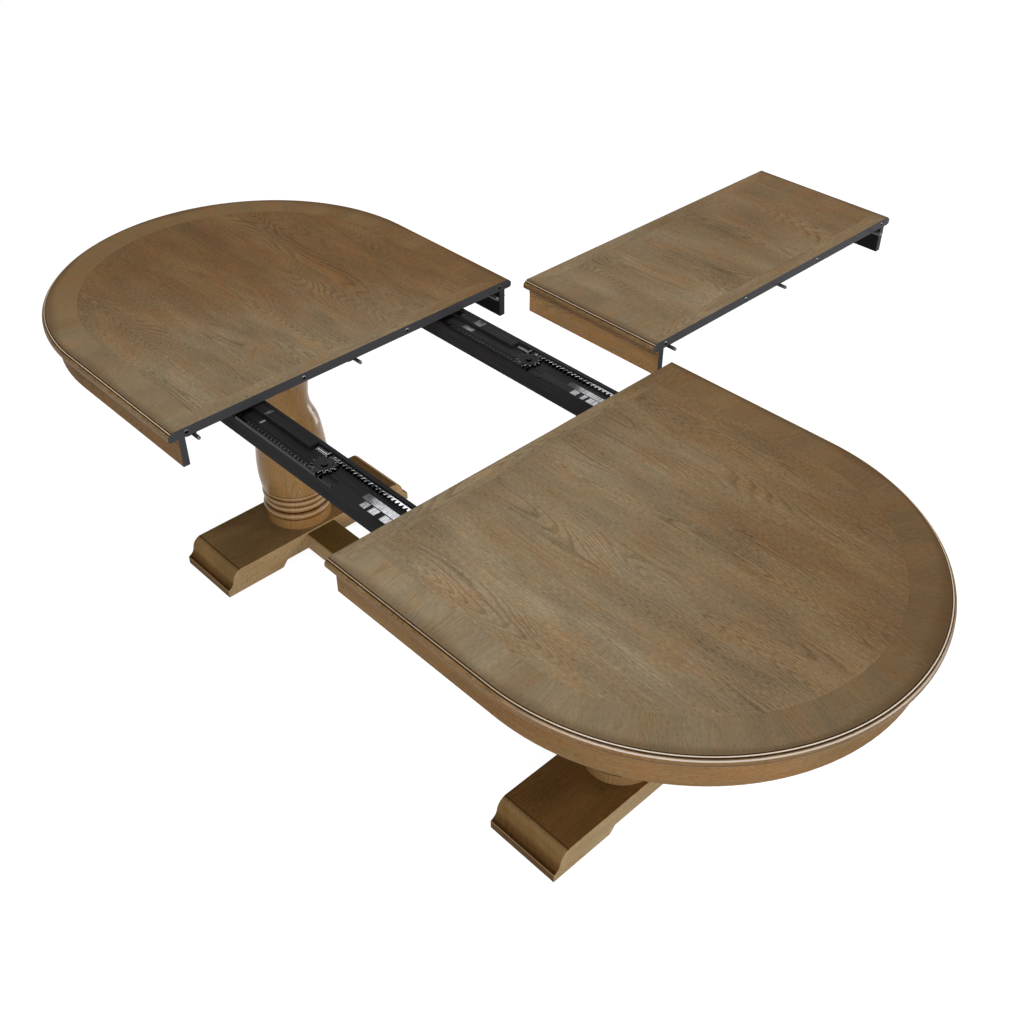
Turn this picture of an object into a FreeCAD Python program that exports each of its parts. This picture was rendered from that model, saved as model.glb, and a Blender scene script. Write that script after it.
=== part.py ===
"""An extending dining table: two half tops that a pair of rack and gear slides open
and close together, a loose leaf for the opening, and a base of two turned columns."""
import FreeCAD, Part
import math
import os
import re
import Sketcher

os.makedirs("parts", exist_ok=True)
doc = FreeCAD.newDocument("extending_table")
sheet = doc.addObject("Spreadsheet::Sheet", "sizes")

# Every size that can be set by itself, in millimetres.
# X runs along the table, Y across it and Z up from the floor.
driving = {
    # the whole table, with its halves drawn apart for the leaf
    "table_high": 778, "field_wide": 1013, "half_straight": 451, "opening": 560.5,
    # half tops and the moulding round them
    "panel_thick": 24, "nose_out": 11,
    # apron under the tops, and its glue blocks
    "apron_inset": 12.5, "apron_thick": 17, "apron_deep": 74,
    "bead_down": 15.5, "bead_wide": 5, "block_long": 54, "block_thick": 18,
    # rails behind the seams
    "cleat_thick": 22, "cleat_deep": 25, "cleat_play": 7, "cleat_behind": 4,
    # pins in one seam face and bushes in the other
    "pin_down": 12.5, "pin_radius": 3, "pin_proud": 10, "pin_deep": 16, "bush_radius": 5, "bush_play": 0.4,
    # slide bolts that hold the seams shut, their saddles and keepers
    "lock_down": 6, "bolt_radius": 4.8, "bolt_play": 0.4, "bolt_proud": 19.5, "bolt_back": 62,
    "bolt_travel": 20, "knob_back": 46, "knob_radius": 3.2, "knob_long": 20,
    "saddle_wide": 26, "saddle_high": 14, "saddle_front": 16, "saddle_back": 80, "keeper_front": 2,
    # the two slides: a fixed centre rail between one member of each half
    "slide_inset": 198.5, "slide_drop": 9, "rail_long": 1400, "rail_wide": 25, "rail_high": 49,
    "rail_rise": 1, "tongue_out": 4.5, "tongue_high": 12, "slide_play": 0.5,
    "member_high": 44, "near_wall": 22, "far_wall": 35, "lip_wide": 10, "lip_high": 11,
    "member_back": 860, "member_reach": 330, "stand_clear": 17,
    # racks and gears
    "gear_module": 4, "gear_thick": 7.5, "gear_root": 4, "gear_backlash": 0.35,
    "rack_high": 9, "rack_back": 7, "gear_bore_play": 0.4, "gear_pin_radius": 5, "gear_pin_long": 33.4,
    "pin_head_radius": 8,
    "pin_head_high": 2.4, "bracket_long": 45, "bracket_start": 22, "bracket_thick": 3,
    # screws through the slide members into the tops
    "screw_radius": 3, "screw_play": 0.2, "screw_head_radius": 5.5, "screw_head_high": 4,
    "screw_sunk": 7, "screw_bite": 12, "screw_first": 400, "screw_pitch": 120,
    # cross bearers, the plates under them and the bolts up into the rails
    "base_half": 630.5, "bearer_wide": 110, "bearer_past": 62, "bearer_high": 45, "bearer_bevel": 22,
    "rail_bolt_radius": 4, "rail_bolt_bite": 24, "rail_bolt_apart": 60, "rail_bolt_sunk": 12,
    "rail_bolt_head": 7, "plate_side": 220, "plate_thick": 20,
    # turned columns and the rods down through them
    "bulb_radius": 101, "tie_radius": 6, "tie_play": 0.5,
    "nut_radius": 11, "nut_high": 10, "tie_end": 5, "tie_well_deep": 25, "tie_well_radius": 20,
    # feet, glides, stretcher and its dowels
    "glide_thick": 3, "glide_radius": 12.5, "glide_apart": 140, "glide_spread": 470,
    "foot_long": 644, "foot_wide": 202, "foot_high": 77, "foot_relief": 20, "relief_long": 246,
    "relief_bevel": 17, "foot_step": 23, "ogee_middle": 48, "ogee_low_run": 20, "ogee_high_run": 25,
    "stretcher_wide": 100, "stretcher_low": 24, "stretcher_high": 51, "stretcher_round": 5,
    "dowel_radius": 6, "dowel_half": 40, "dowel_apart": 56,
    # the loose leaf and where it lies beside the far edge
    "leaf_wide": 450, "leaf_along": -22.5, "leaf_gap": 36,
}

# Counts, and shares of the sizes that they follow.
gear_teeth = 14
rack_teeth = 24
screws_per_member = 4
addendum_share = 0.8
round_share = math.tan(math.pi / 8)
pin_place_shares = (-0.93, -0.304, 0.316, 0.94)
lock_place_shares = (-0.893, 0.0, 0.893)
block_angles = (108, 144, 180, 216, 252)
block_place_shares = (0.25, 0.6)
leaf_block_shares = (-0.12, 0.12)
pressure_angle = math.radians(20)

for row, (word, number) in enumerate(driving.items(), 1):
    sheet.set(f"A{row}", word)
    sheet.set(f"B{row}", str(number))
    sheet.setAlias(f"B{row}", word)
doc.recompute()

# Places and sizes that follow from the driving ones.
worked = {
    "under_top": "table_high - panel_thick",
    "field_half": "field_wide / 2",
    "seam": "opening / 2",
    "round_centre": "seam + half_straight",
    "apron_out": "field_half - apron_inset",
    "apron_in": "apron_out - apron_thick",
    "slide_at": "field_half - slide_inset",
    "rack_top": "under_top - slide_drop",
    "member_top": "rack_top - rack_high",
    "member_low": "member_top - member_high",
    "rail_half": "rail_wide / 2",
    "rail_top": "member_top + rail_rise",
    "rail_low": "rail_top - rail_high",
    "tongue_low": "member_low + (member_high - tongue_high) / 2",
    "member_in": "rail_half + slide_play",
    "groove_in": "member_in + tongue_out",
    "pitch_radius": f"gear_module * {gear_teeth} / 2",
    "pitch": "gear_module * pi",
    "gear_out": f"pitch_radius + {addendum_share} * gear_module",
    "stand_from": "seam + gear_out + stand_clear",
    "lock_level": "under_top - lock_down",
    "pin_level": "table_high - pin_down",
    "foot_top": "glide_thick + foot_high",
    "bearer_low": "rail_low - bearer_high",
    "bearer_long": "2 * (slide_at + bearer_past)",
    "column_top": "bearer_low - plate_thick",
    "column_high": "column_top - foot_top",
    "foot_half": "foot_wide / 2",
    "foot_inner": "base_half - foot_half",
    "leaf_middle": "2 * field_half + leaf_gap",
}


def formula(text):
    """The text with each of the table's own words written as the sheet's cell."""
    def expand(match):
        word = match.group()
        if word in worked:
            return "(" + formula(worked[word]) + ")"
        return "sizes." + word if word in driving else word
    return re.sub(r"[a-z]+(?:_[a-z]+)*", expand, str(text))


def length(text):
    """The number that a formula gives now."""
    return float(sheet.evalExpression(formula(text)))


def bind(thing, **properties):
    """Ties each property of a feature to its formula."""
    for name, text in properties.items():
        thing.setExpression(name, formula(text))
    return thing


def place(thing, x="0", y="0", z="0", turn=0, axis=(0, 0, 1)):
    """Turns a piece about its own origin and ties that origin's place."""
    thing.Placement = FreeCAD.Placement(
        FreeCAD.Vector(), FreeCAD.Rotation(FreeCAD.Vector(*axis), turn))
    for letter, text in zip("xyz", (x, y, z)):
        thing.setExpression("Placement.Base." + letter, formula(text))
    return thing


def block(x, y, z, length_x, length_y, length_z):
    """A plain block from its lowest corner."""
    box = bind(doc.addObject("Part::Box", "block"), Length=length_x, Width=length_y, Height=length_z)
    return place(box, x, y, z)


def upright_rod(x, y, z, radius, high):
    """A round rod that stands on the given point."""
    rod = bind(doc.addObject("Part::Cylinder", "rod"), Radius=radius, Height=high)
    return place(rod, x, y, z)


def lying_rod(x, y, z, radius, long):
    """A round rod that lies along X from the given point."""
    rod = bind(doc.addObject("Part::Cylinder", "rod"), Radius=radius, Height=long)
    return place(rod, x, y, z, 90, (0, 1, 0))


def group(things):
    """Several separate solids held as one."""
    gathered = doc.addObject("Part::Compound", "group")
    gathered.Links = things
    return gathered


def joined(things):
    """Several solids made one."""
    fused = doc.addObject("Part::MultiFuse", "joined")
    fused.Shapes = things
    return fused


def drilled(base, tools):
    """A solid less all of the tools."""
    result = doc.addObject("Part::Cut", "drilled")
    result.Base = base
    result.Tool = group(tools)
    return result


pieces = []


def keep(thing, label):
    """Names a finished sub-part."""
    thing.Label = label
    pieces.append(thing)
    return thing


def new_body(label="body"):
    """An empty body for sketches and features."""
    return doc.addObject("PartDesign::Body", label)


def blank_sketch(body, role, off="0"):
    """A sketch on one of the body's own planes, or held off it."""
    sketch = body.newObject("Sketcher::SketchObject", "outline")
    plane = next(item for item in body.Origin.OriginFeatures if item.Role == role)
    sketch.AttachmentSupport = [(plane, "")]
    sketch.MapMode = "FlatFace"
    sketch.setExpression("AttachmentOffset.Base.z", formula(off))
    return sketch


def pin_point(sketch, item, end, across, up):
    """Ties one point of a sketch to two formulas."""
    for kind, text in (("DistanceX", across), ("DistanceY", up)):
        index = sketch.addConstraint(Sketcher.Constraint(kind, -1, 1, item, end, length(text)))
        sketch.setExpression(f"Constraints[{index}]", formula(text))


def arc_between(first, second, bulge):
    """A circle's arc from first to second; the bulge is the tangent of a quarter of its turn."""
    chord = second - first
    left = FreeCAD.Vector(-chord.y, chord.x, 0)
    centre = (first + second) * 0.5 + left * ((1 - bulge * bulge) / (4 * bulge))
    radius = chord.Length * (1 + bulge * bulge) / (4 * abs(bulge))
    begin, finish = (first, second) if bulge > 0 else (second, first)
    start_angle = math.atan2(begin.y - centre.y, begin.x - centre.x)
    end_angle = math.atan2(finish.y - centre.y, finish.x - centre.x)
    if end_angle < start_angle:
        end_angle += 2 * math.pi
    circle = Part.Circle(centre, FreeCAD.Vector(0, 0, 1), radius)
    return Part.ArcOfCircle(circle, start_angle, end_angle)


def outline(body, role, points, off="0"):
    """A closed outline, anticlockwise. Each point has two formulas and, where the run to the
    next point is round, the bulge of that run, or the word flow where it follows smoothly."""
    sketch = blank_sketch(body, role, off)
    spots = [FreeCAD.Vector(length(point[0]), length(point[1]), 0) for point in points]
    count = len(points)
    ends = []
    heading = 0
    for index, point in enumerate(points):
        first = spots[index]
        second = spots[(index + 1) % count]
        chord_angle = math.atan2(second.y - first.y, second.x - first.x)
        bulge = point[2] if len(point) > 2 else 0
        if bulge == "flow":
            turn = (chord_angle - heading + math.pi) % (2 * math.pi) - math.pi
            bulge = math.tan(turn / 2)
        if bulge == 0:
            sketch.addGeometry(Part.LineSegment(first, second), False)
            ends.append((1, 2))
        else:
            sketch.addGeometry(arc_between(first, second, bulge), False)
            ends.append((1, 2) if bulge > 0 else (2, 1))
        heading = chord_angle + 2 * math.atan(bulge)
    for index, point in enumerate(points):
        after = (index + 1) % count
        smooth = len(points[after]) > 2 and points[after][2] == "flow"
        kind = "Tangent" if smooth else "Coincident"
        sketch.addConstraint(Sketcher.Constraint(kind, index, ends[index][1], after, ends[after][0]))
        pin_point(sketch, index, ends[index][0], point[0], point[1])
        if len(point) > 2 and point[2] not in ("flow", 0):
            run = points[after]
            reach = (1 + point[2] ** 2) / (4 * abs(point[2]))
            text = f"{reach} * sqrt(({run[0]} - ({point[0]}))^2 + ({run[1]} - ({point[1]}))^2)"
            radius = sketch.addConstraint(Sketcher.Constraint("Radius", index, length(text)))
            sketch.setExpression(f"Constraints[{radius}]", formula(text))
    return sketch


def circles(body, role, centres, radius, off="0"):
    """Round holes of one radius in a sketch."""
    sketch = blank_sketch(body, role, off)
    for index, (across, up) in enumerate(centres):
        middle = FreeCAD.Vector(length(across), length(up), 0)
        sketch.addGeometry(Part.Circle(middle, FreeCAD.Vector(0, 0, 1), length(radius)), False)
        pin_point(sketch, index, 3, across, up)
        ring = sketch.addConstraint(Sketcher.Constraint("Radius", index, length(radius)))
        sketch.setExpression(f"Constraints[{ring}]", formula(radius))
    return sketch


def pad(body, sketch, long):
    """Pulls an outline out along its plane's normal."""
    feature = body.newObject("PartDesign::Pad", "pad")
    feature.Profile = sketch
    return bind(feature, Length=long)


def pocket(body, sketch, deep, towards_normal=False):
    """Cuts an outline into the body."""
    feature = body.newObject("PartDesign::Pocket", "pocket")
    feature.Profile = sketch
    feature.Reversed = towards_normal
    return bind(feature, Length=deep)


def revolve(body, sketch, angle):
    """Turns an outline about its own upright axis."""
    feature = body.newObject("PartDesign::Revolution", "turned")
    feature.Profile = sketch
    feature.ReferenceAxis = (sketch, ["V_Axis"])
    feature.Angle = angle
    return feature


def mirrored(body, feature, role):
    """Repeats a feature on the other side of one of the body's planes."""
    copy = body.newObject("PartDesign::Mirrored", "mirrored")
    plane = next(item for item in body.Origin.OriginFeatures if item.Role == role)
    copy.Originals = [feature]
    copy.MirrorPlane = (plane, [""])
    body.Tip = copy
    return copy


def bent_strip(points):
    """A strip of one section that follows a half top's edge: a straight arm from each
    end of the seam and a half round between them. Its origin is the round's centre."""
    body = new_body()
    section = outline(body, "YZ_Plane", points)
    arm = pad(body, section, "half_straight")
    doc.recompute()
    mirrored(body, arm, "XZ_Plane")
    revolve(body, section, 180)
    return body


def straight_strip(points, long):
    """A strip of one section laid along X from its origin."""
    body = new_body()
    pad(body, outline(body, "YZ_Plane", points), long)
    return body


def edge_section(side=1, out_from="field_half"):
    """The moulding round a top: a sunk quirk, a small bead, a groove and a half round nose.
    Shares are of the nose's reach and of the top's thickness."""
    quirk_share, bead_end_share, foot_share = 0.16, 0.46, 0.5
    sunk_share, groove_share, widest_share = 0.12, 0.22, 0.56
    bead_share, upper_share, lower_share = 0.8, 0.43, 0.41
    out = [(0, 1, 0), (foot_share, 1, lower_share), (1, widest_share, upper_share),
           (bead_end_share, groove_share, bead_share), (quirk_share, sunk_share, 0), (0, sunk_share, 0)]
    points = [(f"{out_from} + {reach} * nose_out", f"table_high - {down} * panel_thick", bulge)
              for reach, down, bulge in out]
    return points if side > 0 else flipped(points)


def apron_section(side=1, middle="0"):
    """The apron: a plain board with a small bead run along its outer face."""
    bead_bulge_share = 0.6
    low = "under_top - apron_deep"
    bead = "under_top - bead_down"
    points = [(f"{middle} + apron_in", low), (f"{middle} + apron_out", low),
              (f"{middle} + apron_out", f"{bead} - bead_wide", bead_bulge_share),
              (f"{middle} + apron_out", bead),
              (f"{middle} + apron_out", "under_top"), (f"{middle} + apron_in", "under_top")]
    return points if side > 0 else flipped(points)


def flipped(points):
    """The same outline on the other side of the sketch's upright axis."""
    turned = [(f"-({point[0]})",) + tuple(point[1:]) for point in points]
    runs = [point[2] if len(point) > 2 else 0 for point in turned]
    turned.reverse()
    runs.reverse()
    runs = runs[1:] + runs[:1]
    return [(point[0], point[1], run) for point, run in zip(turned, runs)]


def moved(points, across):
    """The same outline further along the sketch's level axis."""
    return [(f"{point[0]} + {across}",) + tuple(point[1:]) for point in points]


def from_seam(seam_at, side, near, far):
    """The lower X of a run that starts and ends so far behind a seam face."""
    return f"{seam_at} + ({near})" if side > 0 else f"{seam_at} - ({far})"


def pin_places(turned=False):
    """Where the pins and bushes stand along a seam."""
    sign = -1 if turned else 1
    return [f"{sign * share} * field_half" for share in pin_place_shares]


def lock_places():
    """Where the slide bolts stand along a seam."""
    return [f"{share} * field_half" for share in lock_place_shares]


def screw_runs(side):
    """How far from the table's middle each screw of a slide member stands."""
    return [f"{side} * (screw_first + {number} * screw_pitch)" for number in range(screws_per_member)]


def member_middle(side, unit):
    """The line across the table on which a slide member's screws stand."""
    wall = "near_wall" if side < 0 else "far_wall"
    return f"{unit} * slide_at + {side} * (member_in + {wall} / 2)"


# Half tops. Each is one veneered board, straight at the seam and half round at its end,
# drilled in the seam face for pins or bushes and from below for the slide screws.
for name, side, turn in (("left", -1, 0), ("right", 1, 180)):
    body = new_body()
    d_shape = outline(body, "XY_Plane", [
        ("0", "-field_half"), ("half_straight", "-field_half"), ("half_straight", "field_half"),
        ("0", "field_half", "flow")])
    pad(body, d_shape, "panel_thick")
    radius = "bush_radius" if side < 0 else "pin_radius"
    spots = [(spot, "panel_thick - pin_down") for spot in pin_places(side > 0)]
    pocket(body, circles(body, "YZ_Plane", spots, radius, "half_straight"), "pin_deep")
    place(body, f"{side} * round_centre", "0", "under_top", turn)
    holes = [upright_rod(run, member_middle(side, unit), "under_top - slide_play", "screw_radius",
                         "screw_bite + slide_play")
             for unit in (-1, 1) for run in screw_runs(side)]
    keep(drilled(body, holes), f"{name}_panel")

    # The moulding glued round the edge.
    keep(place(bent_strip(edge_section()), f"{side} * round_centre", turn=turn), f"{name}_edge")

    # The apron set in under the edge.
    keep(place(bent_strip(apron_section()), f"{side} * round_centre", turn=turn), f"{name}_apron")

    # Glue blocks in the corner between the apron and the top.
    blocks = []
    for angle in block_angles:
        touch = "sqrt(apron_in^2 - (block_long / 2)^2) - block_thick"
        corner = block(touch, "-block_long / 2", "under_top - block_thick",
                       "block_thick", "block_long", "block_thick")
        blocks.append(place(group([corner]), f"{side} * round_centre", turn=angle + turn))
    for flank in (-1, 1):
        for share in block_place_shares:
            run = f"{side} * (round_centre - {share} * half_straight) - block_long / 2"
            inner = "apron_in - block_thick" if flank > 0 else "-apron_in"
            blocks.append(block(run, inner, "under_top - block_thick",
                                "block_long", "block_thick", "block_thick"))
    keep(group(blocks), f"{name}_glue_blocks")


def cleats(seam_at, side, middle):
    """Three rails across the grain behind a seam's bolts, with room between for the slides."""
    near_edge = "slide_at + member_in + near_wall + cleat_play"
    far_edge = "slide_at + member_in + far_wall + cleat_play"
    runs = [("-apron_in", f"-({near_edge})"),
            ("-slide_at + member_in + far_wall + cleat_play",
             "slide_at - member_in - near_wall - cleat_play"),
            (far_edge, "apron_in")]
    low = "under_top - cleat_deep"
    found = []
    sag_shares = (0.12, 0.03, 0.12)
    for (start, stop), sag_share in zip(runs, sag_shares):
        points = [(start, low, sag_share), (stop, low), (stop, "under_top"), (start, "under_top")]
        strip = straight_strip(moved(points, middle), "cleat_thick")
        start_at = "saddle_back + cleat_behind"
        found.append(place(strip, from_seam(seam_at, side, start_at, f"{start_at} + cleat_thick")))
    return found


def bushes(seam_at, middle):
    """Steel sleeves in the left-hand face of a joint, flush with it."""
    found = []
    for spot in pin_places():
        across = f"{middle} + {spot}"
        start = f"{seam_at} - pin_deep"
        sleeve = lying_rod(start, across, "pin_level", "bush_radius", "pin_deep")
        bore = lying_rod(start, across, "pin_level", "pin_radius + bush_play", "pin_deep")
        found.append(drilled(sleeve, [bore]))
    return found


def pins(seam_at, middle):
    """Steel pins in the right-hand face of a joint, with tapered noses."""
    nose_share = 0.5
    found = []
    for spot in pin_places():
        body = new_body()
        profile = [("0", "-pin_proud"), (f"{nose_share} * pin_radius", "-pin_proud"),
                   ("pin_radius", "pin_radius - pin_proud"), ("pin_radius", "pin_deep"), ("0", "pin_deep")]
        revolve(body, outline(body, "XZ_Plane", profile), 360)
        found.append(place(body, seam_at, f"{middle} + {spot}", "pin_level", 90, (0, 1, 0)))
    return found


def saddles(seam_at, middle):
    """Cast guides screwed up under the top, each with a bore for its bolt and a slot for the knob."""
    found = []
    bore_radius = "bolt_radius + bolt_play"
    slot = "knob_radius + bolt_play"
    for spot in lock_places():
        across = f"{middle} + {spot}"
        start = f"{seam_at} - saddle_back"
        long = "saddle_back - saddle_front"
        case = block(start, f"{across} - saddle_wide / 2", "under_top - saddle_high",
                     long, "saddle_wide", "saddle_high")
        bore = lying_rod(start, across, "lock_level", bore_radius, long)
        way = block(f"{seam_at} - knob_back - bolt_travel - ({slot})", f"{across} - ({slot})",
                    "under_top - saddle_high", f"bolt_travel + 2 * ({slot})", f"2 * ({slot})",
                    "saddle_high - lock_down")
        found.append(drilled(case, [bore, way]))
    return found


def keepers(seam_at, middle):
    """Steel blocks behind the right-hand face of a joint that take the bolts' ends."""
    found = []
    for spot in lock_places():
        across = f"{middle} + {spot}"
        start = f"{seam_at} + keeper_front"
        case = block(start, f"{across} - saddle_wide / 2", "under_top - saddle_high",
                     "cleat_thick", "saddle_wide", "saddle_high")
        bore = lying_rod(start, across, "lock_level", "bolt_radius + bolt_play", "cleat_thick")
        found.append(drilled(case, [bore]))
    return found


def lock_bolt(seam_at, middle, spot, label):
    """One slide bolt: a steel rod with a round end that stands out of the seam, and a knob
    under it to draw it back with the thumb."""
    body = new_body()
    nose = "bolt_radius - bolt_proud"
    profile = [("0", "-bolt_proud", round_share), ("bolt_radius", nose), ("bolt_radius", "bolt_back"),
               ("0", "bolt_back")]
    revolve(body, outline(body, "XZ_Plane", profile), 360)
    across = f"{middle} + {spot}"
    place(body, seam_at, across, "lock_level", -90, (0, 1, 0))
    knob = upright_rod(f"{seam_at} - knob_back", across, "lock_level - knob_long",
                       "knob_radius", "knob_long")
    keep(joined([body, knob]), label)


# The joint between the halves: rails, pins, bushes, bolts, saddles and keepers.
keep(group(cleats("-seam", -1, "0")), "left_seam_rails")
keep(group(cleats("seam", 1, "0")), "right_seam_rails")
keep(group(bushes("-seam", "0")), "left_seam_bushes")
keep(group(pins("seam", "0")), "right_seam_pins")
keep(group(saddles("-seam", "0")), "left_lock_saddles")
keep(group(keepers("seam", "0")), "right_lock_keepers")
for position, spot in zip(("near", "middle", "far"), lock_places()):
    lock_bolt("-seam", "0", spot, f"left_{position}_lock_bolt")


# The loose leaf: a straight board with the same edge, apron and fittings as the halves.
leaf_left = "leaf_along - leaf_wide / 2"
leaf_right = "leaf_along + leaf_wide / 2"
leaf = new_body()
pad(leaf, outline(leaf, "XY_Plane", [
    ("0", "-field_half"), ("leaf_wide", "-field_half"), ("leaf_wide", "field_half"), ("0", "field_half")]),
    "panel_thick")
leaf_level = "panel_thick - pin_down"
pin_spots = [(spot, leaf_level) for spot in pin_places()]
pocket(leaf, circles(leaf, "YZ_Plane", pin_spots, "bush_radius", "leaf_wide"), "pin_deep")
pocket(leaf, circles(leaf, "YZ_Plane", pin_spots, "pin_radius"), "pin_deep", True)
keep(place(leaf, leaf_left, "leaf_middle", "under_top"), "leaf_panel")
keep(group([place(straight_strip(edge_section(side), "leaf_wide"), leaf_left, "leaf_middle")
            for side in (-1, 1)]), "leaf_edges")
keep(group([place(straight_strip(apron_section(side), "leaf_wide"), leaf_left, "leaf_middle")
            for side in (-1, 1)]), "leaf_aprons")
leaf_blocks = []
for flank in ("leaf_middle - apron_in", "leaf_middle + apron_in - block_thick"):
    for share in leaf_block_shares:
        leaf_blocks.append(block(f"leaf_along + {share} * leaf_wide - block_long / 2", flank,
                                 "under_top - block_thick", "block_long", "block_thick", "block_thick"))
keep(group(leaf_blocks), "leaf_glue_blocks")
keep(group(cleats(leaf_right, -1, "leaf_middle") + cleats(leaf_left, 1, "leaf_middle")), "leaf_seam_rails")
keep(group(bushes(leaf_right, "leaf_middle")), "leaf_seam_bushes")
keep(group(pins(leaf_left, "leaf_middle")), "leaf_seam_pins")
keep(group(saddles(leaf_right, "leaf_middle")), "leaf_lock_saddles")
keep(group(keepers(leaf_left, "leaf_middle")), "leaf_lock_keepers")
for position, spot in zip(("near", "middle", "far"), lock_places()):
    lock_bolt(leaf_right, "leaf_middle", spot, f"leaf_{position}_lock_bolt")


def slide_member(side, unit, label):
    """One half's member of a slide: a grooved bar along the centre rail, taller where it is
    screwed up under its own half. The right half's is wider and has a lip along its back."""
    wall = "near_wall" if side < 0 else "far_wall"
    outer = f"-(member_in + {wall})"
    inner = "-member_in"
    groove = "-groove_in"
    low_groove = "tongue_low - slide_play"
    high_groove = "tongue_low + tongue_high + slide_play"
    points = [(outer, "member_low"), (inner, "member_low"), (inner, low_groove), (groove, low_groove),
              (groove, high_groove), (inner, high_groove), (inner, "member_top")]
    if side > 0:
        points += [(f"{outer} + lip_wide", "member_top"), (f"{outer} + lip_wide", "member_top + lip_high"),
                   (outer, "member_top + lip_high")]
    else:
        points.append((outer, "member_top"))
    body = new_body()
    pad(body, outline(body, "YZ_Plane", points), "member_back + member_reach")
    stand = [(outer, "member_top"), (inner, "member_top"), (inner, "under_top"), (outer, "under_top")]
    pad(body, outline(body, "YZ_Plane", stand), "member_back - stand_from")
    turn = 0 if side < 0 else 180
    place(body, f"{side} * member_back", f"{unit} * slide_at", "0", turn)
    holes = []
    for run in screw_runs(side):
        across = member_middle(side, unit)
        holes.append(upright_rod(run, across, "member_low", "screw_radius + screw_play",
                                 "under_top - member_low"))
        holes.append(upright_rod(run, across, "member_low", "screw_head_radius + slide_play", "screw_sunk"))
    keep(drilled(body, holes), label)


def rack(side, unit, label):
    """A toothed bar on a member's top. A space between two teeth faces the gear's centre
    when the table is drawn apart."""
    body = new_body()
    root = "-(pitch_radius + gear_root)"
    back = "-(pitch_radius + rack_back)"
    long = f"{rack_teeth} * pitch"
    bar = outline(body, "XY_Plane", [("0", back), (long, back), (long, root), ("0", root)])
    pad(body, bar, "rack_high")
    lean = math.tan(pressure_angle)
    half_tooth = "pitch / 4 - gear_backlash / 2"
    tip = f"-(pitch_radius - {addendum_share} * gear_module)"
    low_half = f"({half_tooth} + {lean} * gear_root)"
    tip_half = f"({half_tooth} - {lean} * {addendum_share} * gear_module)"
    tooth = pad(body, outline(body, "XY_Plane", [
        (f"pitch / 2 - {low_half}", root), (f"pitch / 2 + {low_half}", root),
        (f"pitch / 2 + {tip_half}", tip), (f"pitch / 2 - {tip_half}", tip)]), "rack_high")
    doc.recompute()
    row = body.newObject("PartDesign::LinearPattern", "teeth")
    row.Originals = [tooth]
    plane_line = next(item for item in body.Origin.OriginFeatures if item.Role == "X_Axis")
    row.Direction = (plane_line, [""])
    row.Occurrences = rack_teeth
    bind(row, Length=f"{rack_teeth - 1} * pitch")
    body.Tip = row
    turn = 0 if side < 0 else 180
    start = f"{side} * {rack_teeth - 1} * pitch"
    keep(place(body, start, f"{unit} * slide_at", "member_top", turn), label)


def member_screws(side):
    """Screws up through both slide members of a half into its top."""
    found = []
    for unit in (-1, 1):
        for run in screw_runs(side):
            across = member_middle(side, unit)
            seat = "member_low + screw_sunk"
            shank = upright_rod(run, across, seat, "screw_radius", f"under_top + screw_bite - ({seat})")
            head = upright_rod(run, across, f"{seat} - screw_head_high",
                               "screw_head_radius", "screw_head_high")
            found.append(joined([shank, head]))
    return found


def stop_brackets(side):
    """Bright steel angles on the members' inner ends, past the racks, that end the travel."""
    found = []
    for unit in (-1, 1):
        start = "bracket_start" if side < 0 else "-(bracket_start + bracket_long)"
        behind = "-pitch_radius - rack_back"
        if side > 0:
            behind = f"pitch_radius - {addendum_share} * gear_module"
        back = f"{unit} * slide_at + {behind}"
        wide = f"rack_back + {addendum_share} * gear_module"
        foot = block(start, back, "member_top", "bracket_long", wide, "bracket_thick")
        wall_at = start if side < 0 else "-(bracket_start + bracket_thick)"
        wall = block(wall_at, back, "member_top", "bracket_thick", wide, "rack_high")
        found.append(joined([foot, wall]))
    return found


# The slides of both halves.
for name, side in (("left", -1), ("right", 1)):
    for position, unit in (("near", -1), ("far", 1)):
        slide_member(side, unit, f"{name}_{position}_slide")
        rack(side, unit, f"{name}_{position}_rack")
    keep(group(member_screws(side)), f"{name}_slide_screws")
    keep(group(stop_brackets(side)), f"{name}_stop_brackets")


def involute(angle):
    """The involute of a pressure angle, in radians."""
    return math.tan(angle) - angle


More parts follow.
